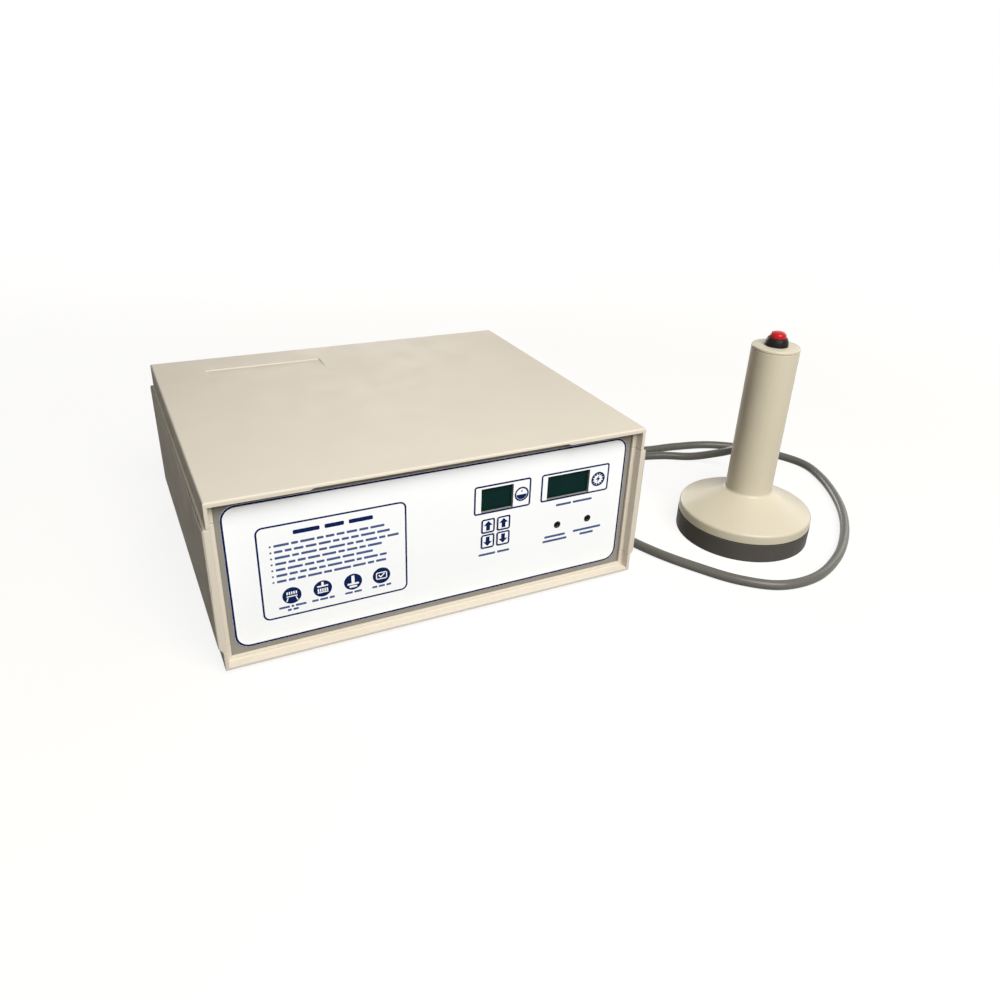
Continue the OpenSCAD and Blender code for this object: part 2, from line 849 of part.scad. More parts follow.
// Flat package of width w that leans on the heat sink and stands on n legs
module flat_chip(x, w, n) {
    box([x - w / 2, sink_y - chip_t, board_top + chip_up], [x + w / 2, sink_y, board_top + chip_up + chip_h]);
    for (i = [0:n - 1]) {
        leg_x = x + (i - (n - 1) / 2) * leg_pitch;
        box([leg_x - leg_w / 2, sink_y - (chip_t + leg_t) / 2, board_top],
            [leg_x + leg_w / 2, sink_y - (chip_t - leg_t) / 2, board_top + chip_up]);
    }
}

chip_x0 = board_x - sink_l / 2 + chip_in;

module power_transistors() color(black) on_unit()
    for (i = [0:3]) flat_chip(chip_x0 + i * chip_pitch, chip_w, 3);

module bridge_rectifier() color(black) on_unit()
    flat_chip(chip_x0 + 4 * chip_pitch + bridge_gap, bridge_w, 4);

module filter_capacitors() color("#27384f") on_unit()
    for (i = [0, 1]) translate([board_x - board_w / 2 + cap_r + cap_in_x,
        board_y - board_d / 2 + cap_r + cap_in_y + i * (2 * cap_r + cap_gap), board_top])
        rotate_extrude() polygon([
            [0, 0], [cap_r, 0], [cap_r, 3], [cap_r - 0.8, 4], [cap_r, 5], [cap_r, cap_h - 1.5],
            [cap_r - 1.5, cap_h], [0, cap_h]
        ]);

module resonant_capacitor() color("#b8452e") on_unit()
    translate([board_x + (board_w - film_w) / 2 - film_in_x, board_y - (board_d - film_d) / 2 + film_in_y,
        board_top]) linear_extrude(film_h) round_rect(film_w, film_d, film_round);

core_x = board_x + core_in_x;
core_y = board_y + core_in_y;

// Two E halves, middle leg along X, standing on the board
module transformer_core() color(ferrite) on_unit() translate([core_x, core_y, board_top])
    translate([0, core_t / 2, 0]) rotate([90, 0, 0]) linear_extrude(core_t) difference() {
        translate([-core_w / 2, 0]) square([core_w, core_h]);
        for (up = [0, 1]) translate([-core_w / 2 + core_t / 2, core_t / 2 + up * (core_h - core_t / 2) / 2])
            square([core_w - core_t, (core_h - 3 * core_t / 2) / 2]);
    }

module transformer_winding() color(copper) on_unit() {
    leg_h = (core_h - core_t / 2) / 2 - (core_h - 3 * core_t / 2) / 2;
    leg_z = board_top + core_t / 2 + (core_h - 3 * core_t / 2) / 2 + leg_h / 2;
    room = (core_h - 3 * core_t / 2) / 2 - 2 * slip;
    along = core_w - core_t - 2 * slip;
    translate([core_x - along / 2, core_y, leg_z]) rotate([90, 0, 90]) linear_extrude(along) difference() {
        round_rect(core_t + 2 * slip + 2 * room, leg_h + 2 * slip + 2 * room, room / 2);
        square([core_t + 2 * slip, leg_h + 2 * slip], center = true);
    }
}

// Rear panel group

module rear_panel() color(pale) on_unit() difference() {
    along_y(rear_in, panel_t) difference() {
        panel_plan();
        translate([rocker_x, z0 + rocker_z])
            square([rocker_body_w + 2 * slip, rocker_body_l + 2 * slip], center = true);
        translate([inlet_x, z0 + inlet_z])
            square([inlet_body_w + 2 * slip, inlet_body_h + 2 * slip], center = true);
    }
    at_fan() rod_y([0, rear_in - 1, 0], duct_r, panel_t + 2);
    at_fan_screws() rod_y([0, rear_in - 1, 0], fan_hole_r, panel_t + 2);
    at_fuse() rod_y([0, rear_in - 1, 0], fuse_r + fuse_wall + slip, panel_t + 2);
    at_inlet_screws() rod_y([0, rear_in - 1, 0], inlet_screw_r + slip, panel_t + 2);
    rod_y([gland_x, rear_in - 1, z0 + gland_z], gland_spigot_r + slip, panel_t + 2);
}

module fan_frame() color(black) on_unit() difference() {
    union() {
        at_fan() along_y(fan_y, fan_t) difference() {
            round_rect(fan_w, fan_w, 4);
            circle(duct_r);
        }
        at_fan() rod_y([0, rear_in - motor_t, 0], hub_r, motor_t);
        at_fan() rod_y([0, fan_y + blade_low + hub_wall + hub_gap, 0], bearing_r,
            fan_t - blade_low - hub_wall - hub_gap);
        at_fan() for (turn = [0:90:270]) rotate([0, turn + 20, 0])
            box([hub_r - 1, rear_in - motor_t, -strut_w / 2], [duct_r + 1, rear_in, strut_w / 2]);
    }
    at_fan_screws() rod_y([0, fan_y - 1, 0], fan_hole_r, fan_t + 2);
    at_fan() rod_y([0, fan_y, 0], shaft_r + bearing_gap, fan_t - 1);
}

module fan_rotor() color("#2a2a2c") on_unit() at_fan() translate([0, fan_y, 0]) rotate([-90, 0, 0]) {
    hub_h = fan_t - motor_t - hub_gap - blade_low;
    translate([0, 0, blade_low]) difference() {
        cylinder(r = hub_r, h = hub_h);
        translate([0, 0, hub_wall]) cylinder(r = hub_r - hub_wall, h = hub_h);
    }
    translate([0, 0, blade_low]) cylinder(r = shaft_r, h = hub_h);
    for (i = [0:blade_n - 1]) rotate(i * 360 / blade_n)
        translate([0, 0, blade_low + 1]) linear_extrude(blade_h, twist = blade_twist, slices = 6)
            translate([hub_r - blade_root, -blade_t / 2])
                square([duct_r - tip_gap - hub_r + blade_root, blade_t]);
}

module fan_guard() color(steel) on_unit() at_fan() {
    reach = fan_pitch / 2 * sqrt(2);
    translate([0, guard_y, 0]) rotate([-90, 0, 0]) for (i = [1:ring_n])
        rotate_extrude() translate([i * (duct_r - 1) / ring_n, 0]) circle(wire_r);
    for (turn = [45, 135]) rotate([0, turn, 0])
        translate([-reach + fan_screw_r + slip, guard_y + wire_r, 0]) rotate([0, 90, 0])
            cylinder(r = wire_r, h = 2 * (reach - fan_screw_r - slip));
    for (x = [-1, 1], z = [-1, 1]) translate([x * fan_pitch / 2, 0, z * fan_pitch / 2]) difference() {
        rod_y([0, rear_out, 0], pan_r + 0.6, guard_off + 2 * wire_r);
        rod_y([0, rear_out - 1, 0], fan_screw_r + slip, guard_off + 2 * wire_r + 2);
    }
}

// Pan-head screw along -Y, its head resting at y
module pan_screw(y, r, l) difference() {
    union() {
        rod_y([0, y, 0], pan_r * r / fan_screw_r, pan_h);
        rod_y([0, y - l, 0], r, l);
    }
    for (turn = [0, 90]) rotate([0, turn, 0]) box([-1.8, y + pan_h - 1, -0.4], [1.8, y + pan_h + 1, 0.4]);
}

module fan_screws() color(steel) on_unit() at_fan_screws()
    pan_screw(rear_out + guard_off + 2 * wire_r, fan_screw_r, fan_screw_l);

module rocker_frame() color(black) on_unit() at_rocker() difference() {
    out = rear_out - rocker_pivot;
    union() {
        along_y(out, bezel_t) round_rect(rocker_body_w + 2 * bezel_lip, rocker_body_l + 2 * bezel_lip, 1.5);
        along_y(out - panel_t - rocker_deep, panel_t + rocker_deep)
            square([rocker_body_w, rocker_body_l], center = true);
        for (z = [-1, 1]) translate([0, 0, z * rocker_body_l / 4])
            box([-spade_w / 2, out - panel_t - rocker_deep - spade_l, -spade_t / 2],
                [spade_w / 2, out - panel_t - rocker_deep, spade_t / 2]);
    }
    along_y(out - panel_t - rocker_deep + rocker_wall, rocker_deep + panel_t + bezel_t)
        square([rocker_open_w, rocker_open_l], center = true);
    translate([-rocker_body_w, 0, 0]) rotate([0, 90, 0])
        cylinder(r = pivot_r + run_gap, h = 2 * rocker_body_w);
}

module power_rocker() color("#a01818") on_unit() at_rocker() rotate([-rocker_swing / 2, 0, 0]) {
    edge = rocker_l / 2 - 0.2;
    along_x(-rocker_w / 2, rocker_w) polygon([
        [-4.5, -3.5], [1, -edge], [5, -edge + 0.3], [3.2, 0], [5, edge - 0.3], [1, edge], [-4.5, 3.5]
    ]);
    translate([-rocker_body_w / 2, 0, 0]) rotate([0, 90, 0]) cylinder(r = pivot_r, h = rocker_body_w);
}

module fuse_holder() color(black) on_unit() at_fuse() difference() {
    union() {
        rod_y([0, rear_out, 0], fuse_flange_r, fuse_flange_t);
        rod_y([0, rear_out - fuse_l, 0], fuse_r + fuse_wall, fuse_l);
        rod_y([0, rear_in - 4, 0], fuse_flange_r, 4);
    }
    rod_y([0, rear_out + fuse_flange_t - fuse_bore, 0], fuse_r + run_gap, fuse_bore + 1);
}

module fuse_cap() color("#303034") on_unit() at_fuse() difference() {
    head_y0 = rear_out + fuse_flange_t + slip;
    union() {
        rod_y([0, head_y0, 0], fuse_head_r, fuse_head_h);
        rod_y([0, head_y0 - fuse_carrier, 0], fuse_r, fuse_carrier);
    }
    box([-fuse_head_r - 1, head_y0 + fuse_head_h - 2, -0.8],
        [fuse_head_r + 1, head_y0 + fuse_head_h + 1, 0.8]);
    for (turn = [0:30:330]) rotate([0, turn, 0]) rod_y([fuse_head_r + 0.4, head_y0 + 1, 0], 0.9, fuse_head_h);
}

module socket_plan(grow) {
    w = socket_w / 2 + grow;
    h = socket_h / 2 + grow;
    polygon([[-w, -h], [w, -h], [w, h - socket_corner], [w - socket_corner, h], [socket_corner - w, h],
        [-w, h - socket_corner]]);
}

module inlet_pin_boxes(gap, tail) for (i = [-1, 0, 1]) {
    floor_y = rear_out + inlet_flange_t - socket_deep;
    rise = i == 0 ? pin_rise / 2 : -pin_rise / 2;
    box([i * pin_pitch - pin_w / 2 - gap, floor_y - tail, rise - pin_h / 2 - gap],
        [i * pin_pitch + pin_w / 2 + gap, floor_y + pin_l, rise + pin_h / 2 + gap]);
}

module mains_inlet() color(black) on_unit() at_inlet() difference() {
    face = rear_out + inlet_flange_t;
    union() {
        along_y(rear_out, inlet_flange_t) round_rect(inlet_flange_w, inlet_flange_h, 5);
        along_y(face - socket_deep - inlet_wall, socket_deep + inlet_wall)
            square([inlet_body_w, inlet_body_h], center = true);
    }
    along_y(face - socket_deep, socket_deep + 1) socket_plan(0);
    inlet_pin_boxes(run_gap, pin_tail);
    for (x = [-1, 1])
        rod_y([x * inlet_pitch / 2, rear_out - 1, 0], inlet_screw_r + slip, inlet_flange_t + 2);
}

module inlet_pins() color(steel) on_unit() at_inlet() inlet_pin_boxes(0, pin_tail);

module inlet_screws() color(steel) on_unit() at_inlet_screws()
    pan_screw(rear_out + inlet_flange_t, inlet_screw_r, inlet_screw_l);

// Cable gland along +Z: hexagon on its seat at z = 0, threaded spigot below, ribbed boot above
module gland() difference() {
    union() {
        cylinder(r = gland_flats / sqrt(3), h = gland_hex_t, $fn = 6);
        translate([0, 0, -gland_spigot_l]) cylinder(r = gland_spigot_r, h = gland_spigot_l + 1);
        translate([0, 0, gland_hex_t]) rotate_extrude() polygon(concat(
            [[0, 0], [boot_r0, 0]],
            [for (i = [0:boot_rings - 1], k = [0:3]) let (
                u = (i + [0.25, 0.3, 0.55, 0.6][k]) / (boot_rings + 1),
                r = boot_r0 + (boot_r1 - boot_r0) * u
            ) [k == 1 || k == 2 ? r - 0.9 : r, u * boot_l]],
            [[boot_r1, boot_l], [0, boot_l]]
        ));
    }
    translate([0, 0, gland_l - boot_hold]) cylinder(r = cable_d / 2 + cable_gap, h = boot_hold + 1);
}

module output_gland() color(black) on_unit()
    translate([gland_x, rear_out, z0 + gland_z]) rotate([-90, 0, 0]) gland();

module gland_nut() color(steel) on_unit()
    translate([gland_x, rear_in - gland_nut_t, z0 + gland_z]) rotate([-90, 0, 0]) difference() {
        cylinder(r = gland_flats / sqrt(3), h = gland_nut_t, $fn = 6);
        translate([0, 0, -1]) cylinder(r = gland_spigot_r + thread_gap, h = gland_nut_t + 2);
    }

// Sealing head

function arc(c, r, a0, a1, n) = [for (i = [0:n]) let (a = a0 + (a1 - a0) * i / n) c + r * [cos(a), sin(a)]];

// Outline of bell and handle from the rim up: edge rounding, cone, fillet, tapered handle
bell_line = concat(
    [[rim_r, base_seat]],
    arc([rim_r - rim_round, rim_z - rim_round * tan(cone_turn / 2)], rim_round, 0, cone_turn, 5),
    arc([handle_r + cone_fillet, cone_z + cone_fillet * tan(cone_turn / 2)], cone_fillet,
        180 + cone_turn, 180, 5),
    [[grip_r, handle_top]]
);
bore_drop = shell_t * tan(cone_turn / 2);

module bell_solid() rotate_extrude() polygon(concat(bell_line, [[0, handle_top], [0, base_seat]]));

module bell_bore() rotate_extrude() polygon([
    [0, base_seat - 1], [rim_r - shell_t, base_seat - 1], [rim_r - shell_t, rim_z - bore_drop],
    [handle_r - shell_t, cone_z - bore_drop], [grip_r - shell_t, handle_top + 1], [0, handle_top + 1]
]);

module at_outlet() rotate(outlet_turn) translate([outlet_reach, 0, outlet_z]) rotate([0, 90, 0]) children();

module handset_shell() color(pale) on_head() difference() {
    union() {
        difference() {
            bell_solid();
            bell_bore();
        }
        intersection() {
            at_lugs() translate([0, 0, base_seat]) cylinder(r = lug_r, h = cone_z);
            bell_solid();
        }
        at_outlet() translate([0, 0, -outlet_reach / 2]) cylinder(r = outlet_boss_r, h = outlet_reach / 2);
    }
    at_lugs() translate([0, 0, base_seat - 1]) cylinder(r = head_screw_r - thread_gap, h = head_screw_up + 2);
    at_outlet() translate([0, 0, -outlet_reach])
        cylinder(r = gland_spigot_r + thread_gap, h = outlet_reach + 1);
}

module coil_base() color(dark_grey) on_head() difference() {
    union() {
        rotate_extrude() polygon([
            [0, 0], [base_r - 1, 0], [base_r, 1], [base_r, base_h - 0.6], [base_r - 0.6, base_h],
            [base_r - base_wall, base_h], [base_r - base_wall, base_floor], [0, base_floor]
        ]);
        at_lugs() translate([0, 0, base_floor / 2]) cylinder(r = lug_r, h = base_h - base_floor / 2);
    }
    at_lugs() {
        translate([0, 0, -1]) cylinder(r = head_screw_r + bore_gap, h = base_h + 2);
        translate([0, 0, -0.01]) cylinder(r1 = head_screw_head + slip, r2 = head_screw_r + bore_gap,
            h = head_screw_head_h + slip);
    }
}

module head_screws() color(steel) on_head() at_lugs() {
    cylinder(r1 = head_screw_head, r2 = head_screw_r, h = head_screw_head_h);
    translate([0, 0, head_screw_head_h])
        cylinder(r = head_screw_r - 2 * thread_gap, h = base_seat + head_screw_up - head_screw_head_h);
}

// Flat spiral winding: outer edge out, inner edge back
module induction_coil() color(copper) on_head() translate([0, 0, base_floor]) linear_extrude(coil_wire)
    polygon(concat(
        [for (a = [0:15:360 * coil_turns]) (coil_in + coil_wire + coil_pitch * a / 360) * [cos(a), sin(a)]],
        [for (a = [360 * coil_turns:-15:0]) (coil_in + coil_pitch * a / 360) * [cos(a), sin(a)]]
    ));

module ferrite_bars() color(ferrite) on_head() for (i = [0:bar_n - 1]) rotate(i * 360 / bar_n)
    box([coil_in, -bar_w / 2, base_floor + coil_wire],
        [coil_in + coil_turns * coil_pitch, bar_w / 2, base_floor + coil_wire + bar_t]);

module end_cap() color(pale) on_head() difference() {
    union() {
        rotate_extrude() polygon([
            [0, handset_h], [grip_r - 0.8, handset_h], [grip_r - 0.2, handset_h - 0.3],
            [grip_r, handset_h - 0.9], [grip_r, handset_h - endcap_t], [0, handset_h - endcap_t]
        ]);
        translate([0, 0, handset_h - endcap_t - spigot_l])
            cylinder(r = grip_r - shell_t - slip, h = spigot_l + 1);
    }
    translate([0, 0, handset_h - endcap_t - spigot_l - 1])
        cylinder(r = grip_r - shell_t - slip - spigot_wall, h = spigot_l + 1);
    translate([0, 0, handset_h - endcap_t - 1]) cylinder(r = barrel_r + thread_gap, h = endcap_t + 2);
}

module button_collar() color(black) on_head() difference() {
    union() {
        translate([0, 0, handset_h]) rotate_extrude() polygon(concat(
            [[0, 0]],
            [for (u = [0:0.125:1]) [collar_r + (collar_top_r - collar_r) * pow(u, 2.2), u * collar_h * 0.93]],
            [[collar_top_r - 0.7, collar_h], [0, collar_h]]
        ));
        translate([0, 0, handset_h - barrel_l]) cylinder(r = barrel_r, h = barrel_l);
    }
    translate([0, 0, handset_h + collar_floor]) cylinder(r = button_r + button_gap, h = collar_h);
    translate([0, 0, handset_h - barrel_l - 1])
        cylinder(r = button_stem_r + button_gap, h = barrel_l + collar_floor + 2);
}

module seal_button() color("#c01f2a") on_head() {
    top = handset_h + collar_h + button_up;
    rotate_extrude() polygon(concat(
        [[0, button_low], [button_r, button_low]],
        arc([button_r - button_round, top - button_round - button_crown], button_round, 0, 75, 5),
        [[0, top]]
    ));
    translate([0, 0, handset_h - barrel_l + button_travel + button_rest])
        cylinder(r = button_stem_r, h = button_low - handset_h + barrel_l - button_travel);
}

module button_nut() color(steel) on_head()
    translate([0, 0, handset_h - endcap_t - button_nut_t]) difference() {
        cylinder(r = barrel_r + button_nut_lap, h = button_nut_t, $fn = 6);
        translate([0, 0, -1]) cylinder(r = barrel_r + thread_gap, h = button_nut_t + 2);
    }

module switch_body() color(dark_grey) on_head() translate([0, 0, handset_h - barrel_l - contact_l]) {
    cylinder(r = barrel_r - 0.5, h = contact_l);
    for (side = [-1, 1])
        box([side * tab_x - tab_t / 2, -tab_w / 2, -tab_l], [side * tab_x + tab_t / 2, tab_w / 2, 0]);
}

module handset_gland() color(black) on_head() at_outlet() gland();

// Cable

out_dir = [cos(outlet_turn), sin(outlet_turn), 0];
head_tip = [head_x, head_y, outlet_z] + (outlet_reach + gland_l) * out_dir;
unit_tip = [unit_x + gland_x, unit_y + rear_out + gland_l, z0 + gland_z];
back_dir = [0, 1, 0];
route = concat(
    [unit_tip - boot_hold * back_dir, unit_tip, unit_tip + run_out * back_dir],
    route_mid,
    [head_tip + run_out * out_dir, head_tip, head_tip - boot_hold * out_dir]
);

// A point on the smooth curve through four route points
function spline(a, b, c, d, u) = 0.5 * (2 * b + (c - a) * u + (2 * a - 5 * b + 4 * c - d) * u * u
    + (3 * b - a - 3 * c + d) * u * u * u);
last = len(route) - 1;
function route_at(i) = route[max(0, min(last, i))];
centres = concat(
    [for (i = [0:last - 1], u = [0, 0.5])
        spline(route_at(i - 1), route[i], route[i + 1], route_at(i + 2), u)],
    [route[last]]
);
rings = len(centres);
function unit_of(v) = v / norm(v);
function heading(i) = unit_of(centres[min(i + 1, rings - 1)] - centres[max(i - 1, 0)]);
function ring_point(i, k) = let (
    t = heading(i),
    side = unit_of(cross([0, 0, 1], t)),
    up = cross(t, side),
    a = 360 * k / cable_sides
) centres[i] + cable_d / 2 * (cos(a) * side + sin(a) * up);

module output_cable() color(cable_grey) polyhedron(
    points = [for (i = [0:rings - 1], k = [0:cable_sides - 1]) ring_point(i, k)],
    faces = concat(
        [[for (k = [0:cable_sides - 1]) k]],
        [[for (k = [cable_sides - 1:-1:0]) (rings - 1) * cable_sides + k]],
        [for (i = [0:rings - 2], k = [0:cable_sides - 1]) let (n = (k + 1) % cable_sides)
            [i * cable_sides + n, i * cable_sides + k, (i + 1) * cable_sides + k, (i + 1) * cable_sides + n]]
    )
);

lower_case();
upper_case();
side_panel_left();
side_panel_right();
front_panel();
front_overlay();
rear_panel();
rubber_feet();
case_screws();
time_window();
voltage_window();
time_display();
voltage_display();
control_board();
board_spacers();
key_switches();
key_tens_up();
key_units_up();
key_tens_down();
key_units_down();
overheat_lamp();
overcurrent_lamp();
power_board();
board_screws();
heat_sink();
power_transistors();
bridge_rectifier();
filter_capacitors();
resonant_capacitor();
transformer_core();
transformer_winding();
fan_frame();
fan_rotor();
fan_guard();
fan_screws();
rocker_frame();
power_rocker();
fuse_holder();
fuse_cap();
mains_inlet();
inlet_pins();
inlet_screws();
output_gland();
gland_nut();
coil_base();
handset_shell();
end_cap();
button_collar();
seal_button();
button_nut();
switch_body();
induction_coil();
ferrite_bars();
head_screws();
handset_gland();
output_cable();
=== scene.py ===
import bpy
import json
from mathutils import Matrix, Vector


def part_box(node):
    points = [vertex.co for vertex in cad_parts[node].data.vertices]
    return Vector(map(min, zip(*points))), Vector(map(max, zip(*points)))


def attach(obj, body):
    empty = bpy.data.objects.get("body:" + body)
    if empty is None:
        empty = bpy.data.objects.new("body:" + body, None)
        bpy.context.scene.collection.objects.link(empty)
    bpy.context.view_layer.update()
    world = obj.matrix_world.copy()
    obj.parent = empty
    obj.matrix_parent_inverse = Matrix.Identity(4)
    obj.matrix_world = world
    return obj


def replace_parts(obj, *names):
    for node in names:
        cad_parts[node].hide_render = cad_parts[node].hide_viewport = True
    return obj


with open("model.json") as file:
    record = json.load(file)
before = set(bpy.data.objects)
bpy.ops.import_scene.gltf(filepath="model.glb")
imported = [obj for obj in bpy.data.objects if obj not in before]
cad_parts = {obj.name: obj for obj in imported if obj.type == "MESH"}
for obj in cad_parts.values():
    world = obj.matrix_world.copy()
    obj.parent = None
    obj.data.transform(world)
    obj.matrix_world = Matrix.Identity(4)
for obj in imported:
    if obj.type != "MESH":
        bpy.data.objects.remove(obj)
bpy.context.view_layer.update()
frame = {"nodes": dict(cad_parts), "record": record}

import json
import math
import bmesh
import bpy
from mathutils import Matrix, Vector

mm = 0.001
scene = bpy.context.scene
scene.view_settings.view_transform = "Standard"
nodes = frame["nodes"]
slotOf = {row["node"]: row["material_slot"] for row in frame["record"]["subparts"]}
bodyOf = {node: body for body, names in frame["record"]["behaviour"]["bodies"].items() for node in names}

# Camera, solved from the corners of the case
cameraView = {
    "eye": (-328.317, -641.094, 403.407),       # mm
    "forward": (0.408478, 0.785715, -0.464539),
    "up": (0.175898, 0.431634, 0.884732),
    "lens": 29.945, "sensor": 36,               # mm
    "clip": (0.01, 100),                        # m
}
forward, up = Vector(cameraView["forward"]), Vector(cameraView["up"])
camera = bpy.data.objects.new("camera", bpy.data.cameras.new("camera"))
camera.data.lens, camera.data.sensor_width = cameraView["lens"], cameraView["sensor"]
camera.data.clip_start, camera.data.clip_end = cameraView["clip"]
facing = Matrix((forward.cross(up), up, -forward)).transposed().to_4x4()
camera.matrix_world = Matrix.Translation(Vector(cameraView["eye"]) * mm) @ facing
scene.collection.objects.link(camera)
scene.camera = camera
print("camera set")


def linear(hexColour):
    parts = [int(hexColour[i:i + 2], 16) / 255 for i in (1, 3, 5)]
    curved = [part / 12.92 if part <= 0.04045 else ((part + 0.055) / 1.055) ** 2.4 for part in parts]
    return (*curved, 1)


# links and values are keyed by a socket's name or number
def addNode(tree, kind, links=None, values=None, **settings):
    made = tree.nodes.new(kind)
    for name, value in settings.items():
        setattr(made, name, value)
    for socket, value in (values or {}).items():
        made.inputs[socket].default_value = value
    for socket, source in (links or {}).items():
        tree.links.new(source, made.inputs[socket])
    return made


# A new material with its shader and the piece's own coordinates
def startFinish(name, shaderValues):
    made = bpy.data.materials.new(name)
    made.use_nodes = True
    tree = made.node_tree
    shader = tree.nodes["Principled BSDF"]
    for socket, value in shaderValues.items():
        shader.inputs[socket].default_value = value
    return made, tree, shader, addNode(tree, "ShaderNodeTexCoord").outputs["Object"]


noiseMiddle = (0.3, 0.7)        # most of a noise's values lie between these


# The two tones, the range of gloss and the relief of a finish, each led by a noise
def setSurface(tree, shader, look, toneNoise, glossNoise, reliefNoise, depth):
    tone = addNode(tree, "ShaderNodeMix", {0: toneNoise.outputs["Fac"]},
                   {6: linear(look["colour"]), 7: linear(look["tone"])}, data_type="RGBA")
    gloss = addNode(tree, "ShaderNodeMapRange", {"Value": glossNoise.outputs["Fac"]},
                    {"From Min": noiseMiddle[0], "From Max": noiseMiddle[1],
                     "To Min": look["rough"][0], "To Max": look["rough"][1]})
    bump = addNode(tree, "ShaderNodeBump", {"Height": reliefNoise.outputs["Fac"]},
                   {"Strength": look["relief"], "Distance": depth * mm})
    tree.links.new(tone.outputs[2], shader.inputs["Base Color"])
    tree.links.new(gloss.outputs[0], shader.inputs["Roughness"])
    tree.links.new(bump.outputs[0], shader.inputs["Normal"])


# Moulded plastic: a slow drift between two tones, a fine tool grain, and gloss that varies with handling
def mouldedPlastic(look):
    polish = {"IOR": look["ior"], "Specular IOR Level": look["shine"]}
    made, tree, shader, place = startFinish(look["name"], polish)
    drift = addNode(tree, "ShaderNodeTexNoise", {"Vector": place},
                    {"Scale": 1 / (look["drift"] * mm), "Detail": 3})
    smear = addNode(tree, "ShaderNodeTexNoise", {"Vector": place},
                    {"Scale": 1 / (look["smear"] * mm), "Detail": 5})
    grain = addNode(tree, "ShaderNodeTexNoise", {"Vector": place},
                    {"Scale": 1 / (look["grain"] * mm), "Detail": 2, "Roughness": 0.6})
    setSurface(tree, shader, look, drift, smear, grain, look["grain"])
    return made


# Metal: a stretched noise for the lines of rolling, drawing or turning
def linedMetal(look):
    made, tree, shader, place = startFinish(look["name"], {"Metallic": 1})
    lines = addNode(tree, "ShaderNodeMapping", {"Vector": place},
                    {"Scale": [1 / (size * mm) for size in look["lines"]]})
    streak = addNode(tree, "ShaderNodeTexNoise", {"Vector": lines.outputs[0]}, {"Scale": 1, "Detail": 4})
    setSurface(tree, shader, look, streak, streak, streak, look["depth"])
    return made


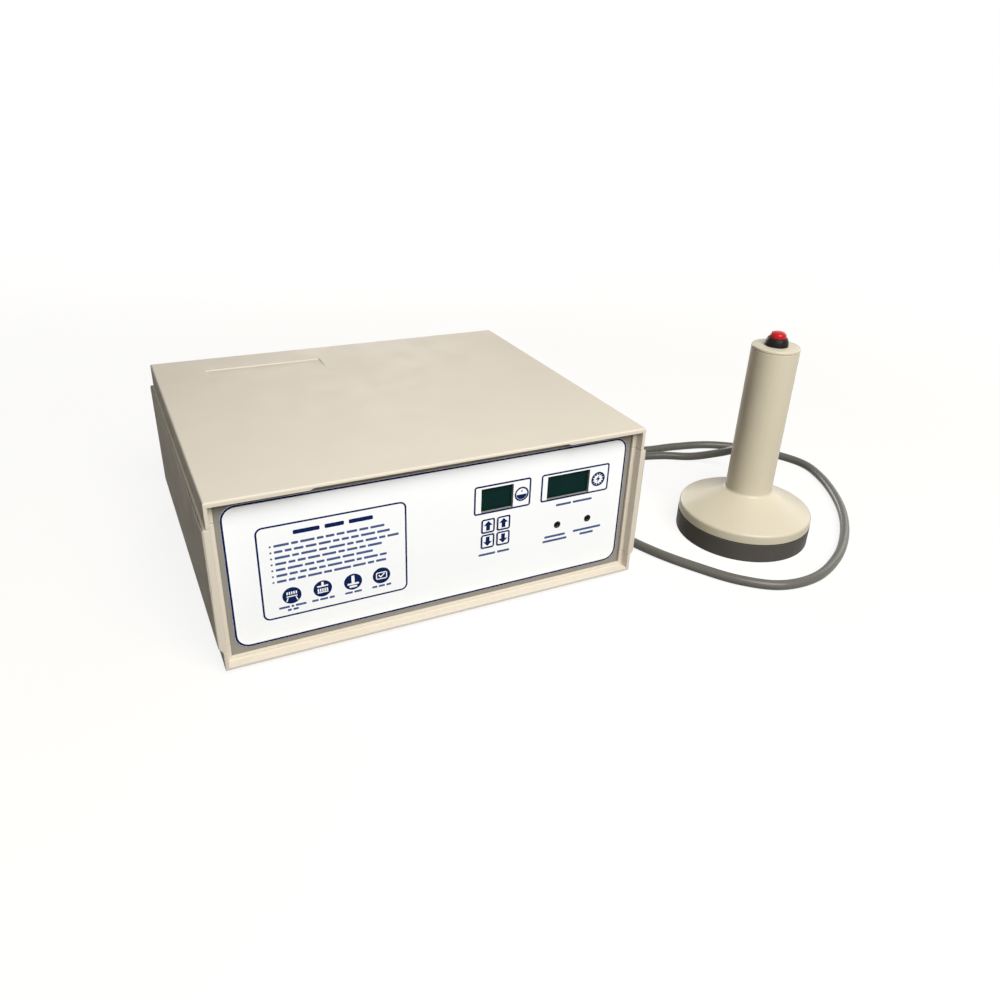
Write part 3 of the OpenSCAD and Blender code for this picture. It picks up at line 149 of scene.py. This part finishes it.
# drift, smear, grain, lines and depth are in mm; a grain too fine to show is drawn coarser than it is
finishLooks = {
    # ivory ABS with a spark-eroded grain: soft broad sheen, no sharp reflection; the real grain is
    # about 0.3 mm and is drawn at 1.1 mm so that it shows
    "case_abs": dict(name="ivory moulded ABS", colour="#D8CFBF", tone="#D3C9B8", drift=90, smear=25,
                     rough=(0.56, 0.68), grain=1.1, relief=0.10, ior=1.53, shine=0.08),
    # plain ABS sheet of the front and rear panels: mid grey, flatter and smoother than the mouldings
    "panel_abs": dict(name="grey ABS sheet", colour="#948F86", tone="#8C877E", drift=60, smear=20,
                      rough=(0.50, 0.62), grain=0.9, relief=0.05, ior=1.53, shine=0.08),
    # satin moulded nylon, a little warmer and smoother than the case
    "head_abs": dict(name="ivory moulded nylon", colour="#CDC4AD", tone="#C7BDA6", drift=50, smear=18,
                     rough=(0.34, 0.42), grain=0.8, relief=0.06, ior=1.53, shine=0.35),
    # white polyester film: a fine velvet face with a soft, even sheen
    "overlay_film": dict(name="white velvet polyester film", colour="#FAFBFB", tone="#F8F9FA", drift=70,
                         smear=30, rough=(0.34, 0.44), grain=0.7, relief=0.03, ior=1.6, shine=0.5),
    # smoked green acrylic with an anti-glare face: deep colour, hardly any reflection
    "display_window": dict(name="smoked green acrylic", colour="#04211F", tone="#082A27", drift=14,
                           smear=20, rough=(0.20, 0.30), grain=2.5, relief=0.01, ior=1.49, shine=0.05),
    # black nitrile rubber, dull and dusty
    "foot_rubber": dict(name="black moulded rubber", colour="#1C1C1C", tone="#262524", drift=8, smear=5,
                        rough=(0.65, 0.82), grain=0.5, relief=0.2, ior=1.5, shine=0.4),
    # glass-filled black nylon with a matt, slightly mottled skin
    "black_plastic": dict(name="black glass-filled nylon", colour="#12100E", tone="#1A1816", drift=12,
                          smear=8, rough=(0.30, 0.44), grain=0.5, relief=0.08, ior=1.53, shine=0.12),
    # unlit dark red lens, nearly black from outside
    "lamp_lens": dict(name="dark red acrylic lens", colour="#070304", tone="#0C0405", drift=2, smear=3,
                      rough=(0.15, 0.25), grain=0.6, relief=0.02, ior=1.49, shine=0.05),
    # heat-shrunk sleeve, smooth and half glossy
    "capacitor_sleeve": dict(name="blue shrink sleeve", colour="#1E2D48", tone="#263757", drift=10,
                             smear=8, rough=(0.25, 0.38), grain=1.2, relief=0.04, ior=1.54, shine=0.5),
    # epoxy dipped case with a rounded, runny skin
    "capacitor_case": dict(name="red dipped epoxy", colour="#9A3522", tone="#8A2E1D", drift=14, smear=9,
                           rough=(0.18, 0.32), grain=3, relief=0.06, ior=1.55, shine=0.5),
    # sintered ferrite, dull and grainy
    "ferrite": dict(name="sintered ferrite", colour="#28282B", tone="#323236", drift=5, smear=6,
                    rough=(0.55, 0.72), grain=0.4, relief=0.15, ior=1.8, shine=0.4),
    # glossy red of the rear switch, with clear reflections
    "rocker_red": dict(name="red polycarbonate rocker", colour="#9C1717", tone="#A81C1B", drift=9, smear=7,
                       rough=(0.16, 0.28), grain=0.8, relief=0.02, ior=1.58, shine=0.4),
    # brighter, polished red of the head's button, with one small highlight
    "button_red": dict(name="red polished button", colour="#B0141C", tone="#BA1820", drift=6, smear=5,
                       rough=(0.16, 0.26), grain=0.8, relief=0.02, ior=1.58, shine=0.14),
    # turned nylon, even dark grey with a dull skin
    "base_nylon": dict(name="dark grey turned nylon", colour="#55524D", tone="#4D4A46", drift=25, smear=9,
                       rough=(0.45, 0.58), grain=0.9, relief=0.09, ior=1.53, shine=0.07),
    # extruded PVC sheath: smooth, faintly waxy, with broad highlights
    "cable_rubber": dict(name="grey extruded PVC sheath", colour="#65625B", tone="#5D5A53", drift=35,
                         smear=12, rough=(0.26, 0.34), grain=1.4, relief=0.03, ior=1.54, shine=0.25),
}
metalLooks = {
    # bright zinc plate over drawn or turned steel
    "plated_steel": dict(name="zinc plated steel", colour="#B9BBBE", tone="#A6A8AB", lines=(2, 2, 0.6),
                         rough=(0.22, 0.36), relief=0.05, depth=0.1),
    # extruded aluminium: long die lines along Y
    "sink_aluminium": dict(name="extruded aluminium", colour="#C3C5C8", tone="#B2B4B8",
                           lines=(0.5, 40, 0.5), rough=(0.30, 0.45), relief=0.08, depth=0.1),
    # enamelled copper, amber brown and glossy
    "copper_wire": dict(name="enamelled copper wire", colour="#A85F30", tone="#8F4C22", lines=(3, 3, 1),
                        rough=(0.20, 0.30), relief=0.10, depth=0.1),
}
finishes = {slot: mouldedPlastic(look) for slot, look in finishLooks.items()}
finishes.update({slot: linedMetal(look) for slot, look in metalLooks.items()})


# Green solder mask on glass laminate: raised tracks show through it as lighter bands
def solderMask(look):
    made, tree, shader, place = startFinish(look["name"], {"Roughness": look["rough"], "IOR": look["ior"]})
    tracks = addNode(tree, "ShaderNodeTexBrick", {"Vector": place},
                     {"Color1": linear(look["mask"]), "Color2": linear(look["maskTone"]),
                      "Mortar": linear(look["track"]), "Scale": 1 / (look["pitch"] * mm),
                      "Mortar Size": look["trackWidth"], "Brick Width": look["trackLength"],
                      "Row Height": look["trackRow"]})
    bump = addNode(tree, "ShaderNodeBump", {"Height": tracks.outputs["Fac"]},
                   {"Strength": look["relief"], "Distance": look["depth"] * mm})
    tree.links.new(tracks.outputs["Color"], shader.inputs["Base Color"])
    tree.links.new(bump.outputs[0], shader.inputs["Normal"])
    return made


boardLook = {
    "name": "green solder mask", "mask": "#1B5233", "maskTone": "#1F5A38", "track": "#3B7C50",
    "rough": 0.3, "ior": 1.5, "relief": 0.3,
    "pitch": 6, "depth": 0.05,                                      # mm
    "trackWidth": 0.04, "trackLength": 1.7, "trackRow": 0.6,        # times the pitch
}
finishes["circuit_board"] = solderMask(boardLook)

# Screen ink: a dense, even colour with less shine than the film
inkLooks = {
    "navy": dict(name="navy screen ink", colour="#071B4A", tone="#0A2054", drift=20, smear=10,
                 rough=(0.34, 0.46), grain=0.6, relief=0.03, ior=1.5, shine=0.06),
    "tint": dict(name="navy screen ink in a half tint", colour="#42527E", tone="#4A5A86", drift=8, smear=6,
                 rough=(0.36, 0.48), grain=0.6, relief=0.03, ior=1.5, shine=0.12),
    "white": dict(name="white screen ink", colour="#FAFBFB", tone="#F4F6F8", drift=8, smear=6,
                  rough=(0.36, 0.48), grain=0.6, relief=0.03, ior=1.5, shine=0.4),
}
inks = {name: mouldedPlastic(look) for name, look in inkLooks.items()}
for name, node in nodes.items():
    node.data.materials.clear()
    node.data.materials.append(finishes[slotOf[name]])
print("finishes:", len(bpy.data.materials))

# Cable between the unit and the head, on the route of its solid
cableRun = {
    "diameter": 9,          # mm
    "inBoot": 20,           # mm held inside each gland
    "lead": 12,             # mm straight out of each gland
    "unitTip": (22.5, 192.8, 40),           # mm, end of the unit's gland
    "headAxis": (221.3, -106.3, 40),        # mm, on the head's axis, at the height of its gland
    "headReach": 94.0,      # mm from the head's axis to the end of its gland
    "headTurn": 48,         # degrees
    "lie": 4.6,             # mm, height of the axis where the cable lies on the table
    "bevelResolution": 6, "splineResolution": 8,
    "route": [
        (27, 232, 33), (45, 252, 19), (73, 258, 8), (102, 246), (126, 218), (145, 182), (165, 144),
        (193, 107), (232, 84), (276, 78), (318, 68), (352, 46), (377, 15), (390, -18), (384, -50),
        (366, -88), (340, -126), (306, -161), (266, -190), (222, -208), (182, -206), (152, -184),
        (130, -152), (111, -116), (97, -74), (91, -30), (100, 16), (129, 51), (170, 67), (212, 70),
        (248, 62), (276, 43, 7), (297, 20, 18), (304, -4, 32),
    ],
}
turn = math.radians(cableRun["headTurn"])
unitOut, headOut = Vector((0, 1, 0)), Vector((math.cos(turn), math.sin(turn), 0))
unitTip = Vector(cableRun["unitTip"])
headTip = Vector(cableRun["headAxis"]) + cableRun["headReach"] * headOut
stops = [unitTip - cableRun["inBoot"] * unitOut, unitTip, unitTip + cableRun["lead"] * unitOut]
stops += [Vector(stop if len(stop) == 3 else (*stop, cableRun["lie"])) for stop in cableRun["route"]]
stops += [headTip + cableRun["lead"] * headOut, headTip, headTip - cableRun["inBoot"] * headOut]
stops = [stop * mm for stop in stops]
cableLine = bpy.data.curves.new("outputCable", "CURVE")
cableLine.dimensions = "3D"
cableLine.bevel_depth = cableRun["diameter"] / 2 * mm
cableLine.bevel_resolution = cableRun["bevelResolution"]
cableLine.resolution_u = cableRun["splineResolution"]
cableLine.use_fill_caps = True
thread = cableLine.splines.new("BEZIER")
thread.bezier_points.add(len(stops) - 1)
for i, point in enumerate(thread.bezier_points):
    before, after = stops[max(i - 1, 0)], stops[min(i + 1, len(stops) - 1)]
    slope = (after - before) / 6            # a third of the spline's slope
    point.co, point.handle_left, point.handle_right = stops[i], stops[i] - slope, stops[i] + slope
cableLine.materials.append(finishes["cable_rubber"])
cable = bpy.data.objects.new("outputCable", cableLine)
scene.collection.objects.link(cable)
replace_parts(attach(cable, "housings"), "output_cable")

# Smooth copies of the solids, with the small edge radii of a mould
edgeRadii = {               # mm; 0 keeps the edges crisp and only smooths the round faces
    "upper_case": 0.5, "lower_case": 0.5, "side_panel_left": 0.5, "side_panel_right": 0.5,
    "front_panel": 0, "rear_panel": 0.3, "handset_shell": 0.4, "end_cap": 0.4, "coil_base": 0.5,
    "button_collar": 0, "seal_button": 0, "rubber_feet": 0, "fan_frame": 0.4, "fan_rotor": 0,
    "fan_guard": 0, "fan_screws": 0, "case_screws": 0, "rocker_frame": 0.3, "power_rocker": 0.3,
    "fuse_holder": 0.3, "fuse_cap": 0.3, "mains_inlet": 0.3, "inlet_screws": 0, "output_gland": 0,
    "handset_gland": 0, "overheat_lamp": 0, "overcurrent_lamp": 0, "front_overlay": 0,
}
skinForm = {
    "weld": 0.002,          # mm, corners nearer than this are merged
    "flat": 0.3,            # degrees, faces that meet at less are joined
    "sharp": 32,            # degrees, edges that bend more stay sharp or get the radius
    "radiusSteps": 2,
    "collarLower": 0.87,    # the photo's button collar stands lower on the end cap than its solid
}
sharp = math.radians(skinForm["sharp"])
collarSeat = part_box("end_cap")[1].z
for name, radius in edgeRadii.items():
    bm = bmesh.new()
    bm.from_mesh(nodes[name].data)
    bmesh.ops.remove_doubles(bm, verts=bm.verts, dist=skinForm["weld"] * mm)
    bmesh.ops.dissolve_limit(bm, angle_limit=math.radians(skinForm["flat"]), verts=bm.verts, edges=bm.edges)
    if name == "button_collar":
        above = [vert for vert in bm.verts if vert.co.z > collarSeat]
        bmesh.ops.scale(bm, vec=(1, 1, skinForm["collarLower"]), verts=above,
                        space=Matrix.Translation((0, 0, -collarSeat)))
    for edge in bm.edges:
        edge.smooth = len(edge.link_faces) == 2 and edge.calc_face_angle(0) < sharp
    for face in bm.faces:
        face.smooth = True
    mesh = bpy.data.meshes.new(name + "_skin")
    bm.to_mesh(mesh)
    bm.free()
    mesh.materials.clear()
    mesh.materials.append(finishes[slotOf[name]])
    skin = bpy.data.objects.new(name + "_skin", mesh)
    scene.collection.objects.link(skin)
    if radius:
        edges = skin.modifiers.new("mouldRadius", "BEVEL")
        edges.width, edges.segments, edges.profile = radius * mm, skinForm["radiusSteps"], 0.5
        edges.limit_method, edges.angle_limit = "ANGLE", sharp
        edges.use_clamp_overlap, edges.harden_normals = False, True
    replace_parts(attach(skin, bodyOf[name]), name)

# Print on the front film: places are in mm from the left and the bottom of the case, as seen from the front
printForm = {
    "ink": 0.05,            # mm
    "cornerSteps": 6, "discSteps": 40,
    "barRound": 0.3,        # a bar's corner radius, times its height
}
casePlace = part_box("lower_case")[0]
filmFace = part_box("front_overlay")[0].y
inkThick = printForm["ink"] * mm


def addPlate(bm, x, z, width, height, corner=0, tilt=0):
    lie = Matrix.Translation((x, z, 0)) @ Matrix.Rotation(math.radians(tilt), 4, "Z")
    made = bmesh.ops.create_grid(bm, x_segments=1, y_segments=1, size=0.5,
                                 matrix=lie @ Matrix.Diagonal((width, height, 1, 1)))
    face = made["verts"][0].link_faces[0]
    if corner:
        made = bmesh.ops.bevel(bm, geom=made["verts"], offset=corner, segments=printForm["cornerSteps"],
                               profile=0.5, affect="VERTICES", material=-1)
        rounded = [side for vert in made["verts"] for side in vert.link_faces]
        face = max(rounded, key=lambda side: side.calc_area())
    return face


def addDisc(bm, x, z, radius, steps=printForm["discSteps"]):
    made = bmesh.ops.create_circle(bm, cap_ends=True, segments=steps, radius=radius,
                                   matrix=Matrix.Translation((x, z, 0)))
    return made["verts"][0].link_faces[0]


# Leaves only a line of that width along the edge of a face
def addOutline(bm, face, line):
    bmesh.ops.inset_region(bm, faces=[face], thickness=line, use_boundary=True, use_even_offset=True)
    bmesh.ops.delete(bm, geom=[face], context="FACES")


def addFrame(bm, x, z, width, height, corner, line):
    addOutline(bm, addPlate(bm, x, z, width, height, corner), line)


def addShape(bm, x, z, points):
    bm.faces.new([bm.verts.new((x + across, z + rise, 0)) for across, rise in points])


# Words as plain bars, in a row from x to the right
def addBars(bm, x, z, widths, height, gap):
    for width in widths:
        addPlate(bm, x + width / 2, z, width, height, corner=height * printForm["barRound"])
        x += width + gap


# Middle and size of a node's box, in mm of the print
def printPlace(node):
    low, high = ((corner - casePlace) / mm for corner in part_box(node))
    return (low + high) / 2, high - low


# Line along the edge of a node's front
def addEdge(bm, node, edge):
    middle, span = printPlace(node)
    addFrame(bm, middle.x, middle.z, span.x - 2 * edge["inset"], span.z - 2 * edge["inset"],
             edge["corner"], edge["line"])


# Where a flat print stands on a front face, in ink layers above it
def onFront(face, layer=1):
    return Matrix.Translation((casePlace.x, face - layer * inkThick, casePlace.z)) @ Matrix.Rotation(
        math.radians(90), 4, "X") @ Matrix.Scale(mm, 4)


# Turns a flat print into thin ink
def finishPrint(bm, name, finish, body, stand):
    bmesh.ops.transform(bm, matrix=stand, verts=bm.verts)
    bmesh.ops.recalc_face_normals(bm, faces=bm.faces)
    outward = stand.to_3x3() @ Vector((0, 0, 1))
    bmesh.ops.reverse_faces(bm, faces=[face for face in bm.faces if face.normal.dot(outward) < 0])
    mesh = bpy.data.meshes.new(name)
    bm.to_mesh(mesh)
    bm.free()
    mesh.materials.append(finish)
    piece = bpy.data.objects.new(name, mesh)
    scene.collection.objects.link(piece)
    thick = piece.modifiers.new("inkThickness", "SOLIDIFY")
    thick.thickness, thick.offset = inkThick, -1
    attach(piece, body)


guidePrint = {
    "frame": (88.5, 67.2, 112.7, 78.9, 5.5, 1.4),                   # x, z, width, height, corner, line
    "heading": (58.8, 98.3, (19.5, 14.5, 18.5), 3.4, 3.6),          # x, z, widths, height, gap
    "lineTop": 89.8, "linePitch": 5.03, "lineStart": 44.4, "lineHeight": 2.0, "wordGap": 1.6,
    "bullet": (41.9, 0.8, 16),                                      # x, radius, steps
    "lines": [
        (11, 5, 10.5, 5, 6.5, 6, 8, 7, 11), (6, 5, 7, 8, 9, 5, 5.5, 6, 11, 10),
        (11, 5, 11.5, 6, 12, 5, 6, 9, 5, 9), (8, 5, 6, 9, 10.5, 5, 8, 5, 11), (7, 11, 7, 6, 10.5, 9, 13),
        (8, 6, 5, 6, 5, 11, 8, 4, 11, 5.5), (7, 5, 6, 10.5, 6, 13, 10, 5, 8),
    ],
    "signs": (54.2, 77.4, 100.9, 123.6), "signHeight": 45.6, "signRadius": 7.1,
    "captions": ((8, 2, 8), (5, 6, 4), (6, 6), (4, 5, 4)), "captionHeight": 36.3,
    "captionBar": (1.8, 1.2),                                       # height, gap
    "captionBelow": (-4, -3.0, (3, 4)),                             # from the first caption: x, z, widths
}
controlPrint = {
    "timeFrame": (226.4, 94.1, 50.6, 25.6, 2.4, 1.5),               # x, z, width, height, corner, line
    "voltFrame": (293.7, 94.0, 65.2, 25.4, 2.4, 1.5),
    "timeSign": (243.4, 93.2, 6.4), "voltSign": (315.9, 93.2, 6.6), "signLine": 1.4,
    "fill": (1.7, -0.3),                                            # inset from the ring's edge, level
    "drop": (2.6, 1.2, 1.6, 0.4),                                   # level, width, height, corner
    "marks": (12, 2, 1.7, 1.4),                                     # count, inset, width, height
    "bolt": [(1.2, 3.7), (-2.2, -0.5), (-0.1, -0.5), (-1.2, -3.7), (2.3, 0.8), (0.3, 0.8)],
    "captions": [                                                   # x, z, widths, height, gap
        (276.5, 76, (14.5, 18.5), 2, 1.8), (206.5, 43.5, (15, 11), 2, 1.8), (267.5, 46.8, (20,), 2.1, 1.5),
        (266, 42.6, (23.5,), 2.1, 1.5), (295.5, 47.2, (27.5,), 2.1, 1.5), (302.5, 43, (13.5,), 2.1, 1.5),
    ],
}
filmEdge = {"inset": 0.1, "corner": 10.9, "line": 1.5}              # mm

# Navy lines: frames, heading, discs, the edge of the film and the signs beside the windows
bm = bmesh.new()
for place in (guidePrint["frame"], controlPrint["timeFrame"], controlPrint["voltFrame"]):
    addFrame(bm, *place)
addBars(bm, *guidePrint["heading"])
for x in guidePrint["signs"]:
    addDisc(bm, x, guidePrint["signHeight"], guidePrint["signRadius"])
addEdge(bm, "front_overlay", filmEdge)

x, z, radius = controlPrint["timeSign"]                             # a ring with its lower half filled
addOutline(bm, addDisc(bm, x, z, radius), controlPrint["signLine"])
inset, level = controlPrint["fill"]
filled = addDisc(bm, x, z, radius - inset)
bmesh.ops.bisect_plane(bm, geom=[filled, *filled.edges, *filled.verts], plane_co=(x, z + level, 0),
                       plane_no=(0, 1, 0), clear_outer=True)
level, width, height, corner = controlPrint["drop"]
addPlate(bm, x, z + level, width, height, corner)

x, z, radius = controlPrint["voltSign"]                             # a dial with marks and a bolt
addOutline(bm, addDisc(bm, x, z, radius), controlPrint["signLine"])
count, inset, width, height = controlPrint["marks"]
for i in range(count):
    turned = 360 * i / count
    across, rise = math.sin(math.radians(turned)), math.cos(math.radians(turned))
    addPlate(bm, x + (radius - inset) * across, z + (radius - inset) * rise, width, height, tilt=-turned)
addShape(bm, x, z, controlPrint["bolt"])
finishPrint(bm, "navyPrint", inks["navy"], "housings", onFront(filmFace))

# Thin black printed ring round each lamp, over the gap between its lens and the film: partly a printed
# bezel, partly painted shade standing in for the shaded edge of the lamp's hole
lampShadeRing = {"radius": 3.2, "width": 1.2}       # mm
bm = bmesh.new()
for lamp in ("overheat_lamp", "overcurrent_lamp"):
    middle = printPlace(lamp)[0]
    addOutline(bm, addDisc(bm, middle.x, middle.z, lampShadeRing["radius"]), lampShadeRing["width"])
finishPrint(bm, "lampShadeRings", finishes["black_plastic"], "housings", onFront(filmFace))

# Small words as bars in the half tint
bm = bmesh.new()
x, radius, steps = guidePrint["bullet"]
for row, words in enumerate(guidePrint["lines"]):
    z = guidePrint["lineTop"] - row * guidePrint["linePitch"]
    addDisc(bm, x, z, radius, steps)
    addBars(bm, guidePrint["lineStart"], z, words, guidePrint["lineHeight"], guidePrint["wordGap"])
height, gap = guidePrint["captionBar"]
for x, words in zip(guidePrint["signs"], guidePrint["captions"]):
    length = sum(words) + gap * (len(words) - 1)
    addBars(bm, x - length / 2, guidePrint["captionHeight"], words, height, gap)
across, below, words = guidePrint["captionBelow"]
addBars(bm, guidePrint["signs"][0] + across, guidePrint["captionHeight"] + below, words, height, gap)
for place in controlPrint["captions"]:
    addBars(bm, *place)
finishPrint(bm, "captionBars", inks["tint"], "housings", onFront(filmFace))

# White signs on the discs, in mm from the middle of each: ribs are z, width and height, plates are
# x, z, width, height and corner, and frames have a line too
ribRow = {"count": 5, "pitch": 1.7, "corner": 0.2}
signForms = [
    # cap on a neck
    {"ribs": (2.2, 1.0, 2.4), "plates": [(0, -0.6, 8.2, 0.9, 0.2)],
     "shapes": [[(side * 2.6, -1.6), (side * 3.4, -1.6), (side * 4.6, -4.8), (side * 3.7, -4.8)]
                for side in (-1, 1)]},
    # head over a cap
    {"ribs": (-1.1, 1.1, 2.6),
     "plates": [(0, 4.4, 1.8, 3, 0.3), (0, 2.3, 8.4, 1.2, 0.3), (0, -3.2, 8.2, 0.9, 0.2)]},
    # head on a cap
    {"plates": [(0, 2.2, 2.4, 6.6, 0.5), (0, -1.8, 9, 1.6, 0.4), (0, -4.2, 6, 1.6, 0.3)]},
    # tick in a frame
    {"frames": [(0, 0, 9, 6.4, 1.4, 0.8)],
     "shapes": [[(-2.6, 0.3), (-0.7, -1.9), (2.9, 1.6), (2.2, 2.3), (-0.6, -0.5), (-1.9, 1.0)]]},
]
bm = bmesh.new()
z = guidePrint["signHeight"]
for x, form in zip(guidePrint["signs"], signForms):
    if "ribs" in form:
        rise, width, height = form["ribs"]
        for i in range(ribRow["count"]):
            across = ribRow["pitch"] * (i - (ribRow["count"] - 1) / 2)
            addPlate(bm, x + across, z + rise, width, height, ribRow["corner"])
    for across, rise, *size in form.get("plates", []):
        addPlate(bm, x + across, z + rise, *size)
    for across, rise, *size in form.get("frames", []):
        addFrame(bm, x + across, z + rise, *size)
    for points in form.get("shapes", []):
        addShape(bm, x, z, points)
finishPrint(bm, "whiteSigns", inks["white"], "housings", onFront(filmFace, 2))

# Outline and arrow of each key, printed on the key itself
keyPrint = {
    "inset": 0.05, "corner": 2.2, "line": 1.45,                     # mm
    "arrow": [(0, 4.5), (-4.0, 0.4), (-1.7, 0.4), (-1.7, -4.2), (1.7, -4.2), (1.7, 0.4), (4.0, 0.4)],
}
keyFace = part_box("key_tens_up")[0].y
for column in ("tens", "units"):
    for way, point in (("up", 1), ("down", -1)):
        key = f"key_{column}_{way}"
        middle = printPlace(key)[0]
        bm = bmesh.new()
        addEdge(bm, key, keyPrint)
        addShape(bm, middle.x, middle.z, [(across, rise * point) for across, rise in keyPrint["arrow"]])
        finishPrint(bm, f"{column}{way.title()}Arrow", inks["navy"], key, onFront(keyFace))

# On and off marks on the two slopes of the rocker, which rests tilted to off
rockerMarks = {
    "rest": -10, "slope": 12.7,                                     # degrees
    "middle": (4.1, 4.0),                                           # mm out from the pivot, and up or down
    "size": 3.6, "bar": 0.84, "ring": 0.7,                          # mm
}
joints = {joint["name"]: joint for joint in frame["record"]["behaviour"]["joints"]}
pivot = Matrix.Translation(joints["rocker_tilt"]["pos_m"])
out, rise = rockerMarks["middle"]
for mark, side in (("onMark", 1), ("offMark", -1)):
    bm = bmesh.new()
    if mark == "onMark":
        addPlate(bm, 0, 0, rockerMarks["bar"], rockerMarks["size"])
    else:
        addOutline(bm, addDisc(bm, 0, 0, rockerMarks["size"] / 2), rockerMarks["ring"])
    stand = (pivot @ Matrix.Rotation(math.radians(rockerMarks["rest"]), 4, "X")
             @ Matrix.Translation(Vector((0, out, side * rise)) * mm)
             @ Matrix.Rotation(math.radians(-side * rockerMarks["slope"]), 4, "X")
             @ Matrix.Rotation(math.pi, 4, "Z") @ Matrix.Rotation(math.radians(90), 4, "X")
             @ Matrix.Scale(mm, 4) @ Matrix.Translation((0, 0, inkThick / mm)))
    finishPrint(bm, mark, inks["white"], "power_rocker", stand)
print("print laid")


# 1 for rays that show a thing to the camera: straight, in a reflection or through glass
def addSeen(tree):
    path = addNode(tree, "ShaderNodeLightPath")
    seen = path.outputs["Is Camera Ray"]
    for way in ("Is Glossy Ray", "Is Transmission Ray"):
        either = addNode(tree, "ShaderNodeMath", {0: seen, 1: path.outputs[way]}, operation="MAXIMUM")
        seen = either.outputs[0]
    return seen


# Room: a white surround, one large soft lamp in front, a weaker one behind and a low one at the right
room = {
    "soft": "#FFF6E2", "softStrength": 0.03,        # lights the object's shaded sides
    "white": "#FFFFFF", "whiteStrength": 1,         # is what the camera sees
    "aim": (0, 0, 60),              # mm
    "lamps": {                      # degrees round from the front and up, then mm, mm and watts
        "keyLamp": dict(turn=0, rise=45, far=1700, size=1300, watts=40, colour="#FFFFFF"),
        "backLamp": dict(turn=166, rise=12, far=1800, size=800, watts=12, colour="#FFFDF8"),
        "sideLamp": dict(turn=100, rise=22, far=1800, size=900, watts=4, colour="#FFFDF8"),
    },
}
for name, plan in room["lamps"].items():
    turn, rise = math.radians(plan["turn"]), math.radians(plan["rise"])
    toLamp = Vector((math.sin(turn) * math.cos(rise), -math.cos(turn) * math.cos(rise), math.sin(rise)))
    light = bpy.data.objects.new(name, bpy.data.lights.new(name, "AREA"))
    light.data.shape, light.data.size, light.data.energy = "DISK", plan["size"] * mm, plan["watts"]
    light.data.color = linear(plan["colour"])[:3]
    light.location = (Vector(room["aim"]) + toLamp * plan["far"]) * mm
    light.rotation_euler = (-toLamp).to_track_quat("-Z", "Y").to_euler()
    scene.collection.objects.link(light)
scene.world = bpy.data.worlds.new("studioRoom")
scene.world.use_nodes = True
tree = scene.world.node_tree
tree.nodes.clear()
soft = addNode(tree, "ShaderNodeBackground",
               values={"Color": linear(room["soft"]), "Strength": room["softStrength"]})
white = addNode(tree, "ShaderNodeBackground",
                values={"Color": linear(room["white"]), "Strength": room["whiteStrength"]})
surround = addNode(tree, "ShaderNodeMixShader", {0: addSeen(tree), 1: soft.outputs[0], 2: white.outputs[0]})
addNode(tree, "ShaderNodeOutputWorld", {"Surface": surround.outputs[0]})

# Floor: matt paper that keeps the shadow, and glows enough to read as white to the camera
floorLook = {
    "name": "pale paper", "colour": "#66635A", "tone": "#6A675E", "rough": 0.9, "shine": 0,
    "drift": 400,                                                   # mm
    "glowColour": "#FFFFFF", "near": 0.87, "far": 1.0,              # glow inside and outside the ring
    "ring": (0.6, 2.2), "half": 40,                                 # m
}
bm = bmesh.new()
bmesh.ops.create_grid(bm, x_segments=1, y_segments=1, size=floorLook["half"])
floorMesh = bpy.data.meshes.new("floor")
bm.to_mesh(floorMesh)
bm.free()
floor = bpy.data.objects.new("floor", floorMesh)
scene.collection.objects.link(floor)
paper, tree, shader, place = startFinish(
    floorLook["name"], {"Roughness": floorLook["rough"], "Specular IOR Level": floorLook["shine"],
                        "Emission Color": linear(floorLook["glowColour"])})
drift = addNode(tree, "ShaderNodeTexNoise", {"Vector": place},
                {"Scale": 1 / (floorLook["drift"] * mm), "Detail": 2})
tone = addNode(tree, "ShaderNodeMix", {0: drift.outputs["Fac"]},
               {6: linear(floorLook["colour"]), 7: linear(floorLook["tone"])}, data_type="RGBA")
away = addNode(tree, "ShaderNodeVectorMath", {0: place}, operation="LENGTH")
glow = addNode(tree, "ShaderNodeMapRange", {"Value": away.outputs["Value"]},
               {"From Min": floorLook["ring"][0], "From Max": floorLook["ring"][1],
                "To Min": floorLook["near"], "To Max": floorLook["far"]})
lift = addNode(tree, "ShaderNodeMath", {0: addSeen(tree), 1: glow.outputs[0]}, operation="MULTIPLY")
tree.links.new(tone.outputs[2], shader.inputs["Base Color"])
tree.links.new(lift.outputs[0], shader.inputs["Emission Strength"])
floorMesh.materials.append(paper)
print("room lit")
